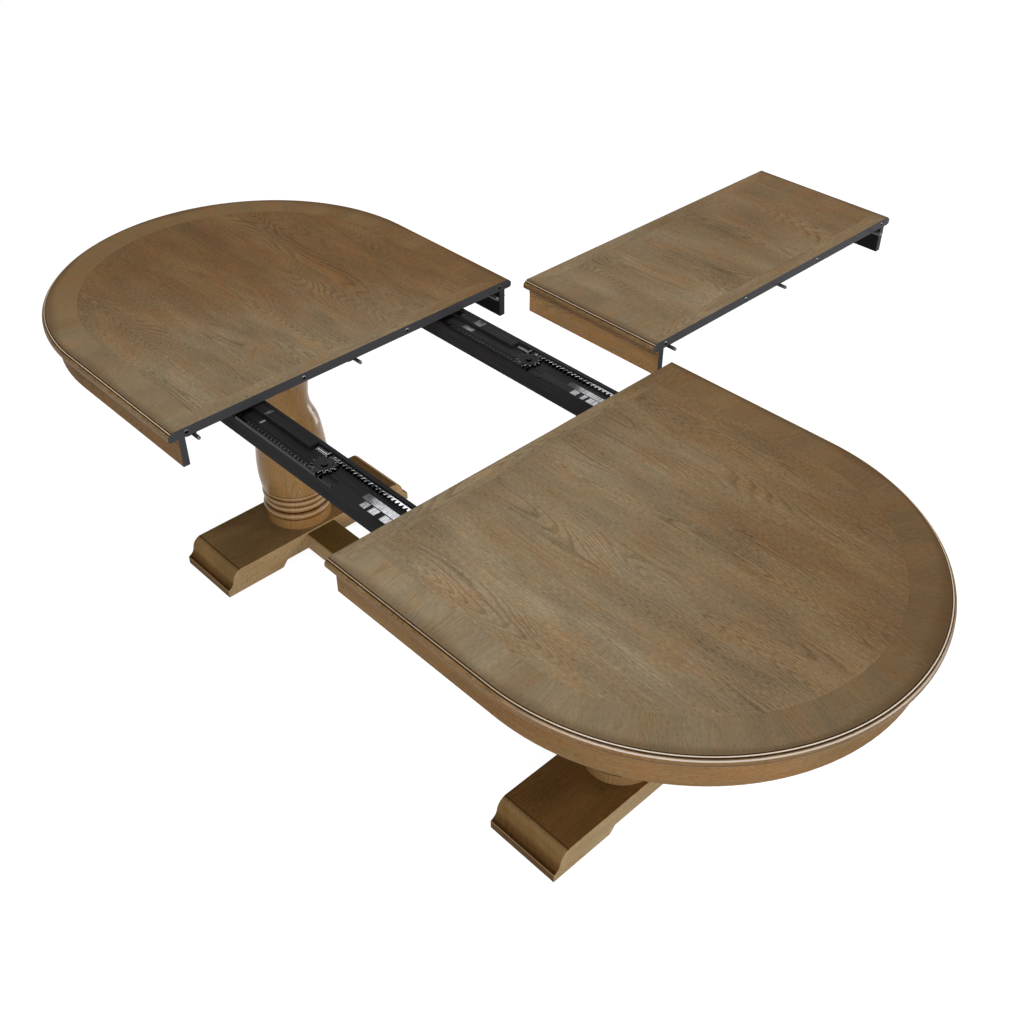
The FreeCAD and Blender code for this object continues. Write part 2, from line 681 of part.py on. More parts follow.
def gear_shape():
    """A spur gear with involute flanks, a tooth pointing along +Y."""
    pitch_radius = length("pitch_radius")
    base_radius = pitch_radius * math.cos(pressure_angle)
    out_radius = length("gear_out")
    root_radius = pitch_radius - length("gear_root")
    half_tooth = math.pi / (2 * gear_teeth) - length("gear_backlash") / (2 * pitch_radius)
    flank_steps = 5

    def polar(radius, angle):
        return FreeCAD.Vector(radius * math.sin(angle), radius * math.cos(angle), 0)

    rise_step = (out_radius - base_radius) / flank_steps
    radii = [base_radius + rise_step * step for step in range(flank_steps + 1)]
    spread = [half_tooth + involute(pressure_angle) - involute(math.acos(min(1, base_radius / radius)))
              for radius in radii]
    edges = []
    for tooth in range(gear_teeth):
        middle = 2 * math.pi * tooth / gear_teeth
        rise = [polar(radius, middle - half) for radius, half in zip(radii, spread)]
        fall = [polar(radius, middle + half) for radius, half in zip(radii, spread)][::-1]
        after = 2 * math.pi * (tooth + 1) / gear_teeth
        edges.append(Part.makeLine(polar(root_radius, middle - spread[0]), rise[0]))
        for flank, ends in ((rise, fall[0]), (fall, None)):
            curve = Part.BSplineCurve()
            curve.interpolate(flank)
            edges.append(curve.toShape())
            if ends:
                edges.append(Part.Arc(flank[-1], polar(out_radius, middle), ends).toShape())
        foot = polar(root_radius, middle + spread[0])
        edges.append(Part.makeLine(fall[-1], foot))
        edges.append(Part.Arc(foot, polar(root_radius, (middle + after) / 2),
                              polar(root_radius, after - spread[0])).toShape())
    thick = length("gear_thick")
    blank = Part.Face(Part.Wire(edges)).extrude(FreeCAD.Vector(0, 0, thick))
    bore = Part.makeCylinder(length("gear_pin_radius + gear_bore_play"), thick)
    return blank.cut(bore)


# Gears on the centre rails, each turned by the racks on both its sides.
for position, unit in (("near", -1), ("far", 1)):
    gear = doc.addObject("Part::Feature", f"{position}_gear")
    gear.Shape = gear_shape()
    keep(place(gear, "0", f"{unit} * slide_at", "rack_top - gear_thick"), f"{position}_gear")

# Pins that the gears turn on, driven into the rails.
gear_pins = []
for unit in (-1, 1):
    shank = upright_rod("0", f"{unit} * slide_at", "rack_top + bolt_play - gear_pin_long",
                        "gear_pin_radius", "gear_pin_long")
    head = upright_rod("0", f"{unit} * slide_at", "rack_top + bolt_play",
                       "pin_head_radius", "pin_head_high")
    gear_pins.append(joined([shank, head]))
keep(group(gear_pins), "gear_pins")


def bolt_spots():
    """Where the bolts from the bearers into the rails stand."""
    return [(f"{end} * base_half + {flank} * rail_bolt_apart / 2", f"{unit} * slide_at")
            for end in (-1, 1) for flank in (-1, 1) for unit in (-1, 1)]


# Centre rails: fixed hardwood bars with a tongue down each side for the members' grooves.
for position, unit in (("near", -1), ("far", 1)):
    half = "rail_half"
    wing = "rail_half + tongue_out - slide_play"
    tongue_high = "tongue_low + tongue_high"
    rail = straight_strip([
        (f"-{half}", "rail_low"), (half, "rail_low"), (half, "tongue_low"), (wing, "tongue_low"),
        (wing, tongue_high), (half, tongue_high), (half, "rail_top"), (f"-{half}", "rail_top"),
        (f"-{half}", tongue_high), (f"-({wing})", tongue_high), (f"-({wing})", "tongue_low"),
        (f"-{half}", "tongue_low")], "rail_long")
    place(rail, "-rail_long / 2", f"{unit} * slide_at")
    holes = [upright_rod(x, y, "rail_low - slide_play", "rail_bolt_radius", "rail_bolt_bite + slide_play")
             for x, y in bolt_spots() if y.startswith(f"{unit} *")]
    holes.append(upright_rod("0", f"{unit} * slide_at", "rack_top + bolt_play - gear_pin_long",
                             "gear_pin_radius", "gear_pin_long"))
    keep(drilled(rail, holes), f"{position}_centre_rail")

# Bolts up through the bearers into the rails.
rail_bolts = []
for x, y in bolt_spots():
    seat = "bearer_low + rail_bolt_sunk"
    shank = upright_rod(x, y, seat, "rail_bolt_radius", "bearer_high - rail_bolt_sunk + rail_bolt_bite")
    head = upright_rod(x, y, f"{seat} - screw_head_high", "rail_bolt_head", "screw_head_high")
    rail_bolts.append(joined([shank, head]))
keep(group(rail_bolts), "rail_bolts")

# Cross bearers on the columns, bevelled at their lower ends, with a well for the tie nut.
for name, end in (("left", -1), ("right", 1)):
    bearer = straight_strip([
        ("bearer_bevel - bearer_long / 2", "bearer_low"), ("bearer_long / 2 - bearer_bevel", "bearer_low"),
        ("bearer_long / 2", "bearer_low + bearer_bevel"), ("bearer_long / 2", "rail_low"),
        ("-bearer_long / 2", "rail_low"), ("-bearer_long / 2", "bearer_low + bearer_bevel")],
        "bearer_wide")
    place(bearer, f"{end} * base_half - bearer_wide / 2")
    holes = []
    for x, y in bolt_spots():
        if x.startswith(f"{end} *"):
            holes.append(upright_rod(x, y, "bearer_low", "rail_bolt_radius + bolt_play", "bearer_high"))
            holes.append(upright_rod(x, y, "bearer_low", "rail_bolt_head + bolt_play", "rail_bolt_sunk"))
    middle = f"{end} * base_half"
    holes.append(upright_rod(middle, "0", "bearer_low", "tie_radius + tie_play", "bearer_high"))
    holes.append(upright_rod(middle, "0", "rail_low - tie_well_deep", "tie_well_radius", "tie_well_deep"))
    keep(drilled(bearer, holes), f"{name}_bearer")

# Square plates between the columns and the bearers.
plates = []
for end in (-1, 1):
    plate = block(f"{end} * base_half - plate_side / 2", "-plate_side / 2", "column_top",
                  "plate_side", "plate_side", "plate_thick")
    hole = upright_rod(f"{end} * base_half", "0", "column_top", "tie_radius + tie_play", "plate_thick")
    plates.append(drilled(plate, [hole]))
keep(group(plates), "top_plates")

# Columns, turned in one piece: a disc, three rings, a fillet, a long bulb and a flared neck.
# Shares are of the bulb's radius and of the column's height.
ring_share = 0.62
column_shares = (
    (0.915, 0.0, 0), (0.915, 0.0626, 0), (0.9, 0.0626, ring_share), (0.9, 0.1068, 0),
    (0.87, 0.1068, ring_share), (0.87, 0.1473, 0), (0.895, 0.1473, ring_share), (0.895, 0.186, 0),
    (0.93, 0.186, 0), (0.93, 0.2118, 0), (0.957, 0.2118, 0.055), (1.0, 0.37, "flow"),
    (0.882, 0.567, "flow"), (0.765, 0.635, "flow"), (0.645, 0.735, "flow"), (0.683, 0.81, "flow"),
    (0.86, 0.9, 0), (0.86, 0.925, 0), (0.92, 0.925, 0), (0.92, 1.0, 0))
for name, end in (("left", -1), ("right", 1)):
    column = new_body()
    profile = [("tie_radius + tie_play", "0")]
    profile += [(f"{out} * bulb_radius", f"{up} * column_high", run) for out, up, run in column_shares]
    profile.append(("tie_radius + tie_play", "column_high"))
    revolve(column, outline(column, "XZ_Plane", profile), 360)
    keep(place(column, f"{end} * base_half", "0", "foot_top"), f"{name}_column")

# Feet: long blocks with an ogee at each end, cut away below between their pads.
for name, end in (("left", -1), ("right", 1)):
    ogee_share = 0.3
    half = "foot_long / 2"
    top_half = "foot_long / 2 - ogee_low_run - ogee_high_run"
    right_end = [
        ("relief_long / 2 + relief_bevel", "glide_thick"), (half, "glide_thick"),
        (half, "glide_thick + foot_step", -ogee_share),
        (f"{half} - ogee_low_run", "glide_thick + ogee_middle", ogee_share), (top_half, "foot_top")]
    ogee_high = "glide_thick + ogee_middle"
    left_end = [
        (f"-({top_half})", "foot_top", ogee_share), (f"-({half} - ogee_low_run)", ogee_high, -ogee_share),
        (f"-{half}", "glide_thick + foot_step"), (f"-{half}", "glide_thick"),
        ("-(relief_long / 2 + relief_bevel)", "glide_thick"),
        ("-relief_long / 2", "glide_thick + foot_relief"), ("relief_long / 2", "glide_thick + foot_relief")]
    foot = straight_strip(right_end + left_end, "foot_wide")
    place(foot, f"{end} * base_half - foot_half")
    holes = [upright_rod(f"{end} * base_half", "0", "glide_thick", "tie_radius + tie_play", "foot_high")]
    for flank in (-1, 1):
        start = "foot_inner" if end > 0 else "-foot_inner - dowel_half"
        holes.append(lying_rod(start, f"{flank} * dowel_apart / 2", "stretcher_low + stretcher_high / 2",
                               "dowel_radius", "dowel_half"))
    keep(drilled(foot, holes), f"{name}_foot")

# The tie rods down through each column, and the nuts at both their ends.
ties = []
nuts = []
bottom_seat = "glide_thick + foot_relief"
top_seat = "rail_low - tie_well_deep"
for end in (-1, 1):
    middle = f"{end} * base_half"
    ties.append(upright_rod(middle, "0", f"{bottom_seat} - nut_high - tie_end", "tie_radius",
                            f"{top_seat} - ({bottom_seat}) + 2 * nut_high + 2 * tie_end"))
    for level in (f"{bottom_seat} - nut_high", top_seat):
        nut = bind(doc.addObject("Part::Prism", "nut"), Circumradius="nut_radius", Height="nut_high")
        nut.Polygon = 6
        place(nut, middle, "0", level)
        nuts.append(drilled(nut, [upright_rod(middle, "0", level, "tie_radius", "nut_high")]))
keep(group(ties), "tie_rods")
keep(group(nuts), "tie_nuts")

# The stretcher between the feet, with its upper edges eased, and the dowels in its ends.
half = "stretcher_wide / 2"
high = "stretcher_low + stretcher_high"
bar = straight_strip([
    (f"-{half}", "stretcher_low"), (half, "stretcher_low"),
    (half, f"{high} - stretcher_round", round_share),
    (f"{half} - stretcher_round", high), (f"-({half} - stretcher_round)", high, round_share),
    (f"-{half}", f"{high} - stretcher_round")], "2 * foot_inner")
place(bar, "-foot_inner")
dowel_level = "stretcher_low + stretcher_high / 2"
dowel_holes = []
dowels = []
for end in (-1, 1):
    for flank in (-1, 1):
        across = f"{flank} * dowel_apart / 2"
        inside = "-foot_inner" if end < 0 else "foot_inner - dowel_half"
        dowel_holes.append(lying_rod(inside, across, dowel_level, "dowel_radius", "dowel_half"))
        dowels.append(lying_rod(f"{end} * foot_inner - dowel_half", across, dowel_level,
                                "dowel_radius", "2 * dowel_half"))
keep(drilled(bar, dowel_holes), "stretcher")
keep(group(dowels), "stretcher_dowels")

# Glides under the corners of the feet.
glides = [upright_rod(f"{end} * base_half + {side} * glide_apart / 2", f"{flank} * glide_spread / 2", "0",
                      "glide_radius", "glide_thick")
          for end in (-1, 1) for side in (-1, 1) for flank in (-1, 1)]
keep(group(glides), "foot_glides")

doc.recompute()

# Nothing is written unless every object and every sub-part is sound.
for thing in doc.Objects:
    if "Invalid" in thing.State or "Error" in thing.State:
        raise RuntimeError(f"{thing.Name} {thing.Label} failed: {thing.State}")
for piece in pieces:
    if piece.Shape.isNull() or not piece.Shape.isValid() or not piece.Shape.Solids:
        raise RuntimeError(f"{piece.Label} has no sound shape")
for piece in pieces:
    piece.Shape.exportStep(f"parts/{piece.Label}.step")
    print(piece.Label, len(piece.Shape.Solids), round(piece.Shape.Volume))
print(len(pieces), "sub-parts")
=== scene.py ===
import math
import bmesh
import bpy
from mathutils import Matrix, Vector


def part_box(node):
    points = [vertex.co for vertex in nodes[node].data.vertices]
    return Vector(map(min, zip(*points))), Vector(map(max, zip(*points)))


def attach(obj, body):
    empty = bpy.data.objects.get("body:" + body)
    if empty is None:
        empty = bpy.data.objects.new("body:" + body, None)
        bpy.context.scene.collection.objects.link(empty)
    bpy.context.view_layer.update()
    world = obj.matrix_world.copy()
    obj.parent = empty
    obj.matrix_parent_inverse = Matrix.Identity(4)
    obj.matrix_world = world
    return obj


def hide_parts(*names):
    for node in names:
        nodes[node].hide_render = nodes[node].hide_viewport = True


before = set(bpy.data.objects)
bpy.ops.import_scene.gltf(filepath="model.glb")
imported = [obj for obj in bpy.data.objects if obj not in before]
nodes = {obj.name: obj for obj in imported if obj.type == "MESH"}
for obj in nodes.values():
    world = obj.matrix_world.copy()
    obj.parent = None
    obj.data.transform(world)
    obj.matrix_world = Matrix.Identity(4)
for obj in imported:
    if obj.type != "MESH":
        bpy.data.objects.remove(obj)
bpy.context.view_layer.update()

# Camera. A stills camera stands off the near right-hand corner of the table, a good way
# above it, and looks back and down across both half tops.
eye = Vector((1.7787, -1.4680, 2.3056))
turned, tipped, rolled = (math.radians(angle) for angle in (45.928, 39.047, 0.273))
ahead = Vector((-math.sin(turned) * math.cos(tipped), math.cos(turned) * math.cos(tipped),
                -math.sin(tipped)))
level = Vector((math.cos(turned), math.sin(turned), 0))
upward = level.cross(ahead)
across = math.cos(rolled) * level + math.sin(rolled) * upward
above = math.cos(rolled) * upward - math.sin(rolled) * level
lens = bpy.data.cameras.new("camera")
lens.lens = 42.536
lens.sensor_width = 36
lens.clip_end = 100
camera = bpy.data.objects.new("camera", lens)
camera.rotation_euler = Matrix((across, above, -ahead)).transposed().to_euler()
camera.location = eye
bpy.context.scene.collection.objects.link(camera)
bpy.context.scene.camera = camera
bpy.context.scene.view_settings.view_transform = "Standard"


def put(tree, kind, sockets=None, **options):
    """A shader node with its options set and its inputs given a value or a link."""
    node = tree.nodes.new("ShaderNode" + kind)
    for name, value in options.items():
        setattr(node, name, value)
    for name, value in (sockets or {}).items():
        if isinstance(value, bpy.types.NodeSocket):
            tree.links.new(value, node.inputs[name])
        else:
            node.inputs[name].default_value = value
    return node


def sum_up(tree, operation, first, second=0.0, third=0.0):
    """The value of one sum."""
    return put(tree, "Math", {0: first, 1: second, 2: third}, operation=operation).outputs[0]


def product(tree, first, second):
    """Two values multiplied."""
    return sum_up(tree, "MULTIPLY", first, second)


# Floor and light. A pale seamless studio floor, lit by the room and by soft boxes on all
# sides, so that only soft shadows fall. A small one by the floor shines on a column.
def seen_directly(tree):
    """One where the camera or a shiny surface looks at this, and nought where light bounces."""
    path = put(tree, "LightPath")
    straight = sum_up(tree, "MAXIMUM", path.outputs["Is Camera Ray"], path.outputs["Is Glossy Ray"])
    return sum_up(tree, "MAXIMUM", straight, path.outputs["Is Transmission Ray"])


room_light = 0.28
world = bpy.data.worlds.new("studio")
bpy.context.scene.world = world
world.use_nodes = True
sky = world.node_tree
sky.nodes.clear()
sky_strength = sum_up(sky, "MULTIPLY_ADD", seen_directly(sky), 1 - room_light, room_light)
sky_shade = put(sky, "Background", {"Color": (1, 1, 1, 1), "Strength": sky_strength})
put(sky, "OutputWorld", {"Surface": sky_shade.outputs[0]})

floor_paint = bpy.data.materials.new("studio_floor")
floor_paint.use_nodes = True
tree = floor_paint.node_tree
tree.nodes.clear()
shaded = put(tree, "BsdfDiffuse", {"Color": (0.8, 0.8, 0.8, 1)})
dim = put(tree, "BsdfDiffuse", {"Color": (0.22, 0.22, 0.22, 1)})
glow = put(tree, "Emission", {"Color": (1, 1, 1, 1), "Strength": 0.93})
bright = put(tree, "AddShader", {0: dim.outputs[0], 1: glow.outputs[0]})
chosen = put(tree, "MixShader", {0: seen_directly(tree), 1: shaded.outputs[0], 2: bright.outputs[0]})
put(tree, "OutputMaterial", {"Surface": chosen.outputs[0]})
floor_half = 30.0
floor_mesh = bpy.data.meshes.new("floor")
floor_form = bmesh.new()
bmesh.ops.create_grid(floor_form, x_segments=1, y_segments=1, size=floor_half)
floor_form.to_mesh(floor_mesh)
floor_form.free()
floor_mesh.materials.append(floor_paint)
floor = bpy.data.objects.new("floor", floor_mesh)
bpy.context.scene.collection.objects.link(floor)

# Each box's place, what it is aimed at, the length of its side and its power in watts.
soft_boxes = (
    ("left_box", (-2.4, 1.5, 3.9), (0.0, 0.0, 0.7), 1.4, 22),
    ("near_box", (0.25, -0.9, 2.9), (0.3, -0.2, 0.7), 1.2, 32),
    ("leaf_box", (0.4, 2.2, 2.7), (0.0, 1.0, 0.7), 1.0, 18),
    ("front_box", (2.2, -3.4, 1.5), (0.2, 0.0, 0.4), 2.2, 78),
    ("right_box", (4.0, -0.6, 0.9), (0.0, 0.0, 0.2), 1.4, 45),
    ("strip_box", (2.3, 2.7, 1.7), (-0.6, 0.0, 0.4), 1.0, 50),
    ("column_box", (-0.52, 1.0, 0.2), (-0.6, 0.0, 0.38), 0.3, 2.8),
)
for name, stand, target, side, power in soft_boxes:
    lamp = bpy.data.lights.new(name, "AREA")
    lamp.shape = "SQUARE"
    lamp.size = side
    lamp.energy = power
    box = bpy.data.objects.new(name, lamp)
    box.location = stand
    box.rotation_euler = (Vector(target) - Vector(stand)).to_track_quat("-Z", "Y").to_euler()
    bpy.context.scene.collection.objects.link(box)


# Oak. Every show wood of the table is the same wire-brushed oak: broad brown and olive
# bands, arched figure, fine pale lines, and short dark pores that the brush opened.
def new_group(name, takes, gives):
    """An empty node group with named inputs and outputs."""
    group = bpy.data.node_groups.new(name, "ShaderNodeTree")
    for socket, kind, value in takes:
        made = group.interface.new_socket(socket, in_out="INPUT", socket_type="NodeSocket" + kind)
        made.default_value = value
    for socket, kind in gives:
        group.interface.new_socket(socket, in_out="OUTPUT", socket_type="NodeSocket" + kind)
    return group, group.nodes.new("NodeGroupInput").outputs, group.nodes.new("NodeGroupOutput")


def give(group, out, **values):
    """Links values to a group's outputs."""
    for name, value in values.items():
        group.links.new(value, out.inputs[name])


def between(tree, amount, first, second, blend="MIX"):
    """A colour part of the way from the first to the second, or to the two multiplied."""
    mix = put(tree, "Mix", data_type="RGBA", blend_type=blend, clamp_factor=True)
    for slot, value in ((0, amount), (6, first), (7, second)):
        if isinstance(value, bpy.types.NodeSocket):
            tree.links.new(value, mix.inputs[slot])
        else:
            mix.inputs[slot].default_value = value
    return mix.outputs[2]


def ease(tree, value, low, high):
    """Nought at the low value, one at the high one and smooth between."""
    return put(tree, "MapRange", {"Value": value, "From Min": low, "From Max": high},
               interpolation_type="SMOOTHSTEP").outputs[0]


def near_to(tree, value, place, reach, full):
    """One within the full distance of a place, and nought beyond the reach."""
    away = sum_up(tree, "ABSOLUTE", sum_up(tree, "SUBTRACT", value, place))
    return ease(tree, away, reach, full)


def split(tree, vector):
    """The three numbers of a point or a direction."""
    return put(tree, "SeparateXYZ", {0: vector}).outputs


def stretched(tree, along, sideways, depth, run, spread):
    """A point whose steps are so many to the metre along the grain and across it."""
    along = product(tree, along, run)
    sideways = product(tree, sideways, spread)
    return put(tree, "CombineXYZ", {0: along, 1: sideways, 2: depth}).outputs[0]


def cloudy(tree, point, detail=2.0, rough=0.5, bend=0.0):
    """Soft random values about a half."""
    return put(tree, "TexNoise", {"Vector": point, "Scale": 1.0, "Detail": detail, "Roughness": rough,
                                  "Distortion": bend}).outputs[0]


def speckled(tree, point, scale, detail=3.0, rough=0.6):
    """Soft random values with so many steps to the metre each way."""
    point = put(tree, "Mapping", {"Vector": point, "Scale": scale}).outputs[0]
    return cloudy(tree, point, detail, rough)


oak, took, gave = new_group(
    "brushed_oak",
    [("Along", "Float", 0.0), ("Across", "Float", 0.0), ("Seed", "Float", 0.0),
     ("Dark", "Color", (0.1, 0.05, 0.02, 1)), ("Middle", "Color", (0.2, 0.12, 0.06, 1)),
     ("Light", "Color", (0.3, 0.2, 0.1, 1)), ("Tint", "Float", 1.0)],
    [("Color", "Color"), ("Height", "Float"), ("Roughness", "Float")])
along, seed = took["Along"], took["Seed"]
wander_wide, ripple_wide = 0.03, 0.005
wander = cloudy(oak, stretched(oak, along, took["Across"], seed, run=2.2, spread=3.0))
bent = sum_up(oak, "MULTIPLY_ADD", wander, wander_wide, took["Across"])
ripple = cloudy(oak, stretched(oak, along, bent, seed, run=9.0, spread=22.0))
fibre = sum_up(oak, "MULTIPLY_ADD", ripple, ripple_wide, bent)
bands = cloudy(oak, stretched(oak, along, bent, seed, run=2.4, spread=9.0), rough=0.55)

ring_slope, ring_count = 1.6, 56.0
field = stretched(oak, along, bent, seed, run=1.2, spread=8.5)
field = cloudy(oak, field, detail=1.0, rough=0.35, bend=0.1)
rings = product(oak, sum_up(oak, "MULTIPLY_ADD", fibre, ring_slope, field), ring_count)
rings = sum_up(oak, "FRACT", rings)
ring_line = product(oak, ease(oak, rings, 0.35, 0.8), ease(oak, rings, 1.0, 0.86))
ring_place = ease(oak, cloudy(oak, stretched(oak, along, bent, seed, run=2.6, spread=8.0)), 0.36, 0.62)
figure = product(oak, ring_line, ring_place)

streaks = cloudy(oak, stretched(oak, along, fibre, seed, run=10.0, spread=260.0), detail=3.0, rough=0.65)
fine = cloudy(oak, stretched(oak, along, fibre, seed, run=90.0, spread=520.0), rough=0.7)
pores = cloudy(oak, stretched(oak, along, fibre, seed, run=90.0, spread=900.0), detail=1.0)
pores = ease(oak, pores, 0.56, 0.72)
mottle = stretched(oak, along, bent, seed, run=6.0, spread=17.0)
mottle = cloudy(oak, mottle, detail=3.0, rough=0.6, bend=0.4)
embers = cloudy(oak, stretched(oak, along, fibre, seed, run=9.0, spread=50.0), detail=3.0, rough=0.6)

band_share, streak_share, fine_share, figure_share = 0.8, 0.62, 1.08, 0.22
tone = sum_up(oak, "MULTIPLY_ADD", bands, band_share, product(oak, streaks, streak_share))
tone = sum_up(oak, "MULTIPLY_ADD", fine, fine_share, tone)
tone = sum_up(oak, "SUBTRACT", tone, product(oak, figure, figure_share))
tone = sum_up(oak, "ADD", tone, took["Tint"])
low_tone = between(oak, ease(oak, tone, 0.8, 1.2), took["Dark"], took["Middle"])
full_tone = between(oak, ease(oak, tone, 1.15, 1.6), low_tone, took["Light"])

olive_cast = (0.92, 0.965, 0.99, 1)
warm_cast = (1.05, 0.96, 0.88, 1)
ember_cast = (1.1, 1.0, 0.88, 1)
pore_cast, pore_share = (0.45, 0.42, 0.4, 1), 0.5
olive = between(oak, ease(oak, mottle, 0.5, 0.36), full_tone, olive_cast, "MULTIPLY")
warm = between(oak, ease(oak, mottle, 0.5, 0.66), olive, warm_cast, "MULTIPLY")
ember = between(oak, ease(oak, embers, 0.55, 0.75), warm, ember_cast, "MULTIPLY")
pored = between(oak, product(oak, pores, pore_share), ember, pore_cast, "MULTIPLY")

ridges = sum_up(oak, "MULTIPLY_ADD", fine, 0.6, product(oak, streaks, 0.5))
hollows = sum_up(oak, "MULTIPLY_ADD", pores, 0.8, product(oak, figure, 0.25))
least_rough, streak_rough, pore_rough = 0.38, 0.2, 0.15
rough = sum_up(oak, "MULTIPLY_ADD", streaks, streak_rough, least_rough)
rough = sum_up(oak, "MULTIPLY_ADD", pores, pore_rough, rough)
give(oak, gave, Color=pored, Height=sum_up(oak, "SUBTRACT", ridges, hollows), Roughness=rough)


def new_material(name):
    """An empty material, its node tree, and the object's own coordinates."""
    material = bpy.data.materials.new(name)
    material.use_nodes = True
    tree = material.node_tree
    tree.nodes.clear()
    return material, tree, put(tree, "TexCoord").outputs["Object"]


def finish_surface(tree, colour, rough, height=None, depth=0.0002, strength=0.5, **shader):
    """The shader at the end of a material, with a bump where a height is given."""
    surface = put(tree, "BsdfPrincipled", {"Base Color": colour, "Roughness": rough})
    for name, value in shader.items():
        surface.inputs[name.replace("_", " ")].default_value = value
    if height is not None:
        bump = put(tree, "Bump", {"Height": height, "Distance": depth, "Strength": strength})
        tree.links.new(bump.outputs[0], surface.inputs["Normal"])
    put(tree, "OutputMaterial", {"Surface": surface.outputs[0]})


def dress(material, *names):
    """Gives CAD nodes their finish."""
    for name in names:
        slots = nodes[name].data.materials
        slots.clear()
        slots.append(material)


# Where things are on a top: how far a point is along its edge, in from it and from the seam.
panel_low, panel_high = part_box("right_panel")
field_half = panel_high.y
seam = panel_low.x
round_centre = panel_high.x - field_half
top = panel_high.z
underside = panel_low.z
leaf_low, leaf_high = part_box("leaf_panel")
leaf_middle = (leaf_low + leaf_high) / 2

half_place, took, gave = new_group(
    "place_on_half_top", [("Point", "Vector", (0, 0, 0)), ("Side", "Float", 1.0)],
    [("Along", "Float"), ("Inward", "Float"), ("Behind", "Float")])
x, y, z = split(half_place, took["Point"])
outward = product(half_place, x, took["Side"])
past = sum_up(half_place, "SUBTRACT", outward, round_centre)
beyond = sum_up(half_place, "MAXIMUM", past, 0.0)
short = sum_up(half_place, "MAXIMUM", product(half_place, past, -1.0), 0.0)
squares = sum_up(half_place, "MULTIPLY_ADD", beyond, beyond, product(half_place, y, y))
reach = sum_up(half_place, "SQRT", squares)
angle = sum_up(half_place, "ARCTAN2", y, beyond)
straight = product(half_place, short, sum_up(half_place, "SIGN", y))
give(half_place, gave, Along=sum_up(half_place, "MULTIPLY_ADD", angle, field_half, straight),
     Inward=sum_up(half_place, "SUBTRACT", field_half, reach),
     Behind=sum_up(half_place, "SUBTRACT", outward, seam))

leaf_place, took, gave = new_group(
    "place_on_leaf", [("Point", "Vector", (0, 0, 0))],
    [("Along", "Float"), ("Inward", "Float"), ("Behind", "Float")])
x, y, z = split(leaf_place, took["Point"])
off_x = sum_up(leaf_place, "SUBTRACT", x, leaf_middle.x)
off_y = sum_up(leaf_place, "SUBTRACT", y, leaf_middle.y)
leaf_half = (leaf_high.x - leaf_low.x) / 2
ends_apart = 3.0
give(leaf_place, gave,
     Along=sum_up(leaf_place, "MULTIPLY_ADD", sum_up(leaf_place, "SIGN", off_y), ends_apart, x),
     Inward=sum_up(leaf_place, "SUBTRACT", field_half, sum_up(leaf_place, "ABSOLUTE", off_y)),
     Behind=sum_up(leaf_place, "SUBTRACT", leaf_half, sum_up(leaf_place, "ABSOLUTE", off_x)))


def place_of(tree, point, side):
    """A point's place on a half top, or on the leaf where the side is nought."""
    if side == 0:
        return put(tree, "Group", {"Point": point}, node_tree=leaf_place).outputs
    return put(tree, "Group", {"Point": point, "Side": float(side)}, node_tree=half_place).outputs


def oak_on(tree, along, across_grain, seed, dark, middle, light, tint=0.0):
    """The oak group with its run and its colours."""
    return put(tree, "Group", {"Along": along, "Across": across_grain, "Seed": seed, "Dark": dark,
                               "Middle": middle, "Light": light, "Tint": tint}, node_tree=oak).outputs


# Half tops and leaf. Each board is faced with brushed oak veneer: wide leaves of it run
# along the table, a border of short blocks lies across the edge, a band follows the seam,
# and the seam's face is painted black.
border_wide = 0.077
band_wide = 0.040
joint_reach, joint_full, joint_share = 0.016, 0.004, 0.2
mitre_reach, mitre_full = 0.02, 0.005
glaze_least, glaze_more, glaze_share = 0.01, 0.03, 0.5
block_share, band_lift, cloud_share = 0.45, 0.03, 0.5
seam_reach, seam_full, seam_shade_share = 0.14, 0.02, 0.9
top_dark = (0.084, 0.047, 0.020, 1)
top_middle = (0.158, 0.098, 0.046, 1)
top_light = (0.245, 0.164, 0.084, 1)
rim_dark = (0.125, 0.08, 0.038, 1)
rim_light = (0.2, 0.135, 0.068, 1)
glaze_brown = (0.062, 0.03, 0.012, 1)
sheen_pale_tint = (1.2, 1.4, 1.7, 1)
seam_painted_shade = (0.84, 0.82, 0.8, 1)
seam_black = (0.042, 0.042, 0.045, 1)
seam_skin = 0.0006
paint_rough = 0.32


def painted_end(tree, behind, colour, rough):
    """The same colour and roughness with the seam's face painted black."""
    face = sum_up(tree, "LESS_THAN", behind, seam_skin)
    black = between(tree, face, colour, seam_black)
    smooth = sum_up(tree, "MULTIPLY_ADD", face, sum_up(tree, "SUBTRACT", paint_rough, rough), rough)
    return black, smooth


def slope(tree, value, rise, start):
    """A start and so much more to the metre of a value."""
    return sum_up(tree, "MULTIPLY_ADD", value, rise, start)
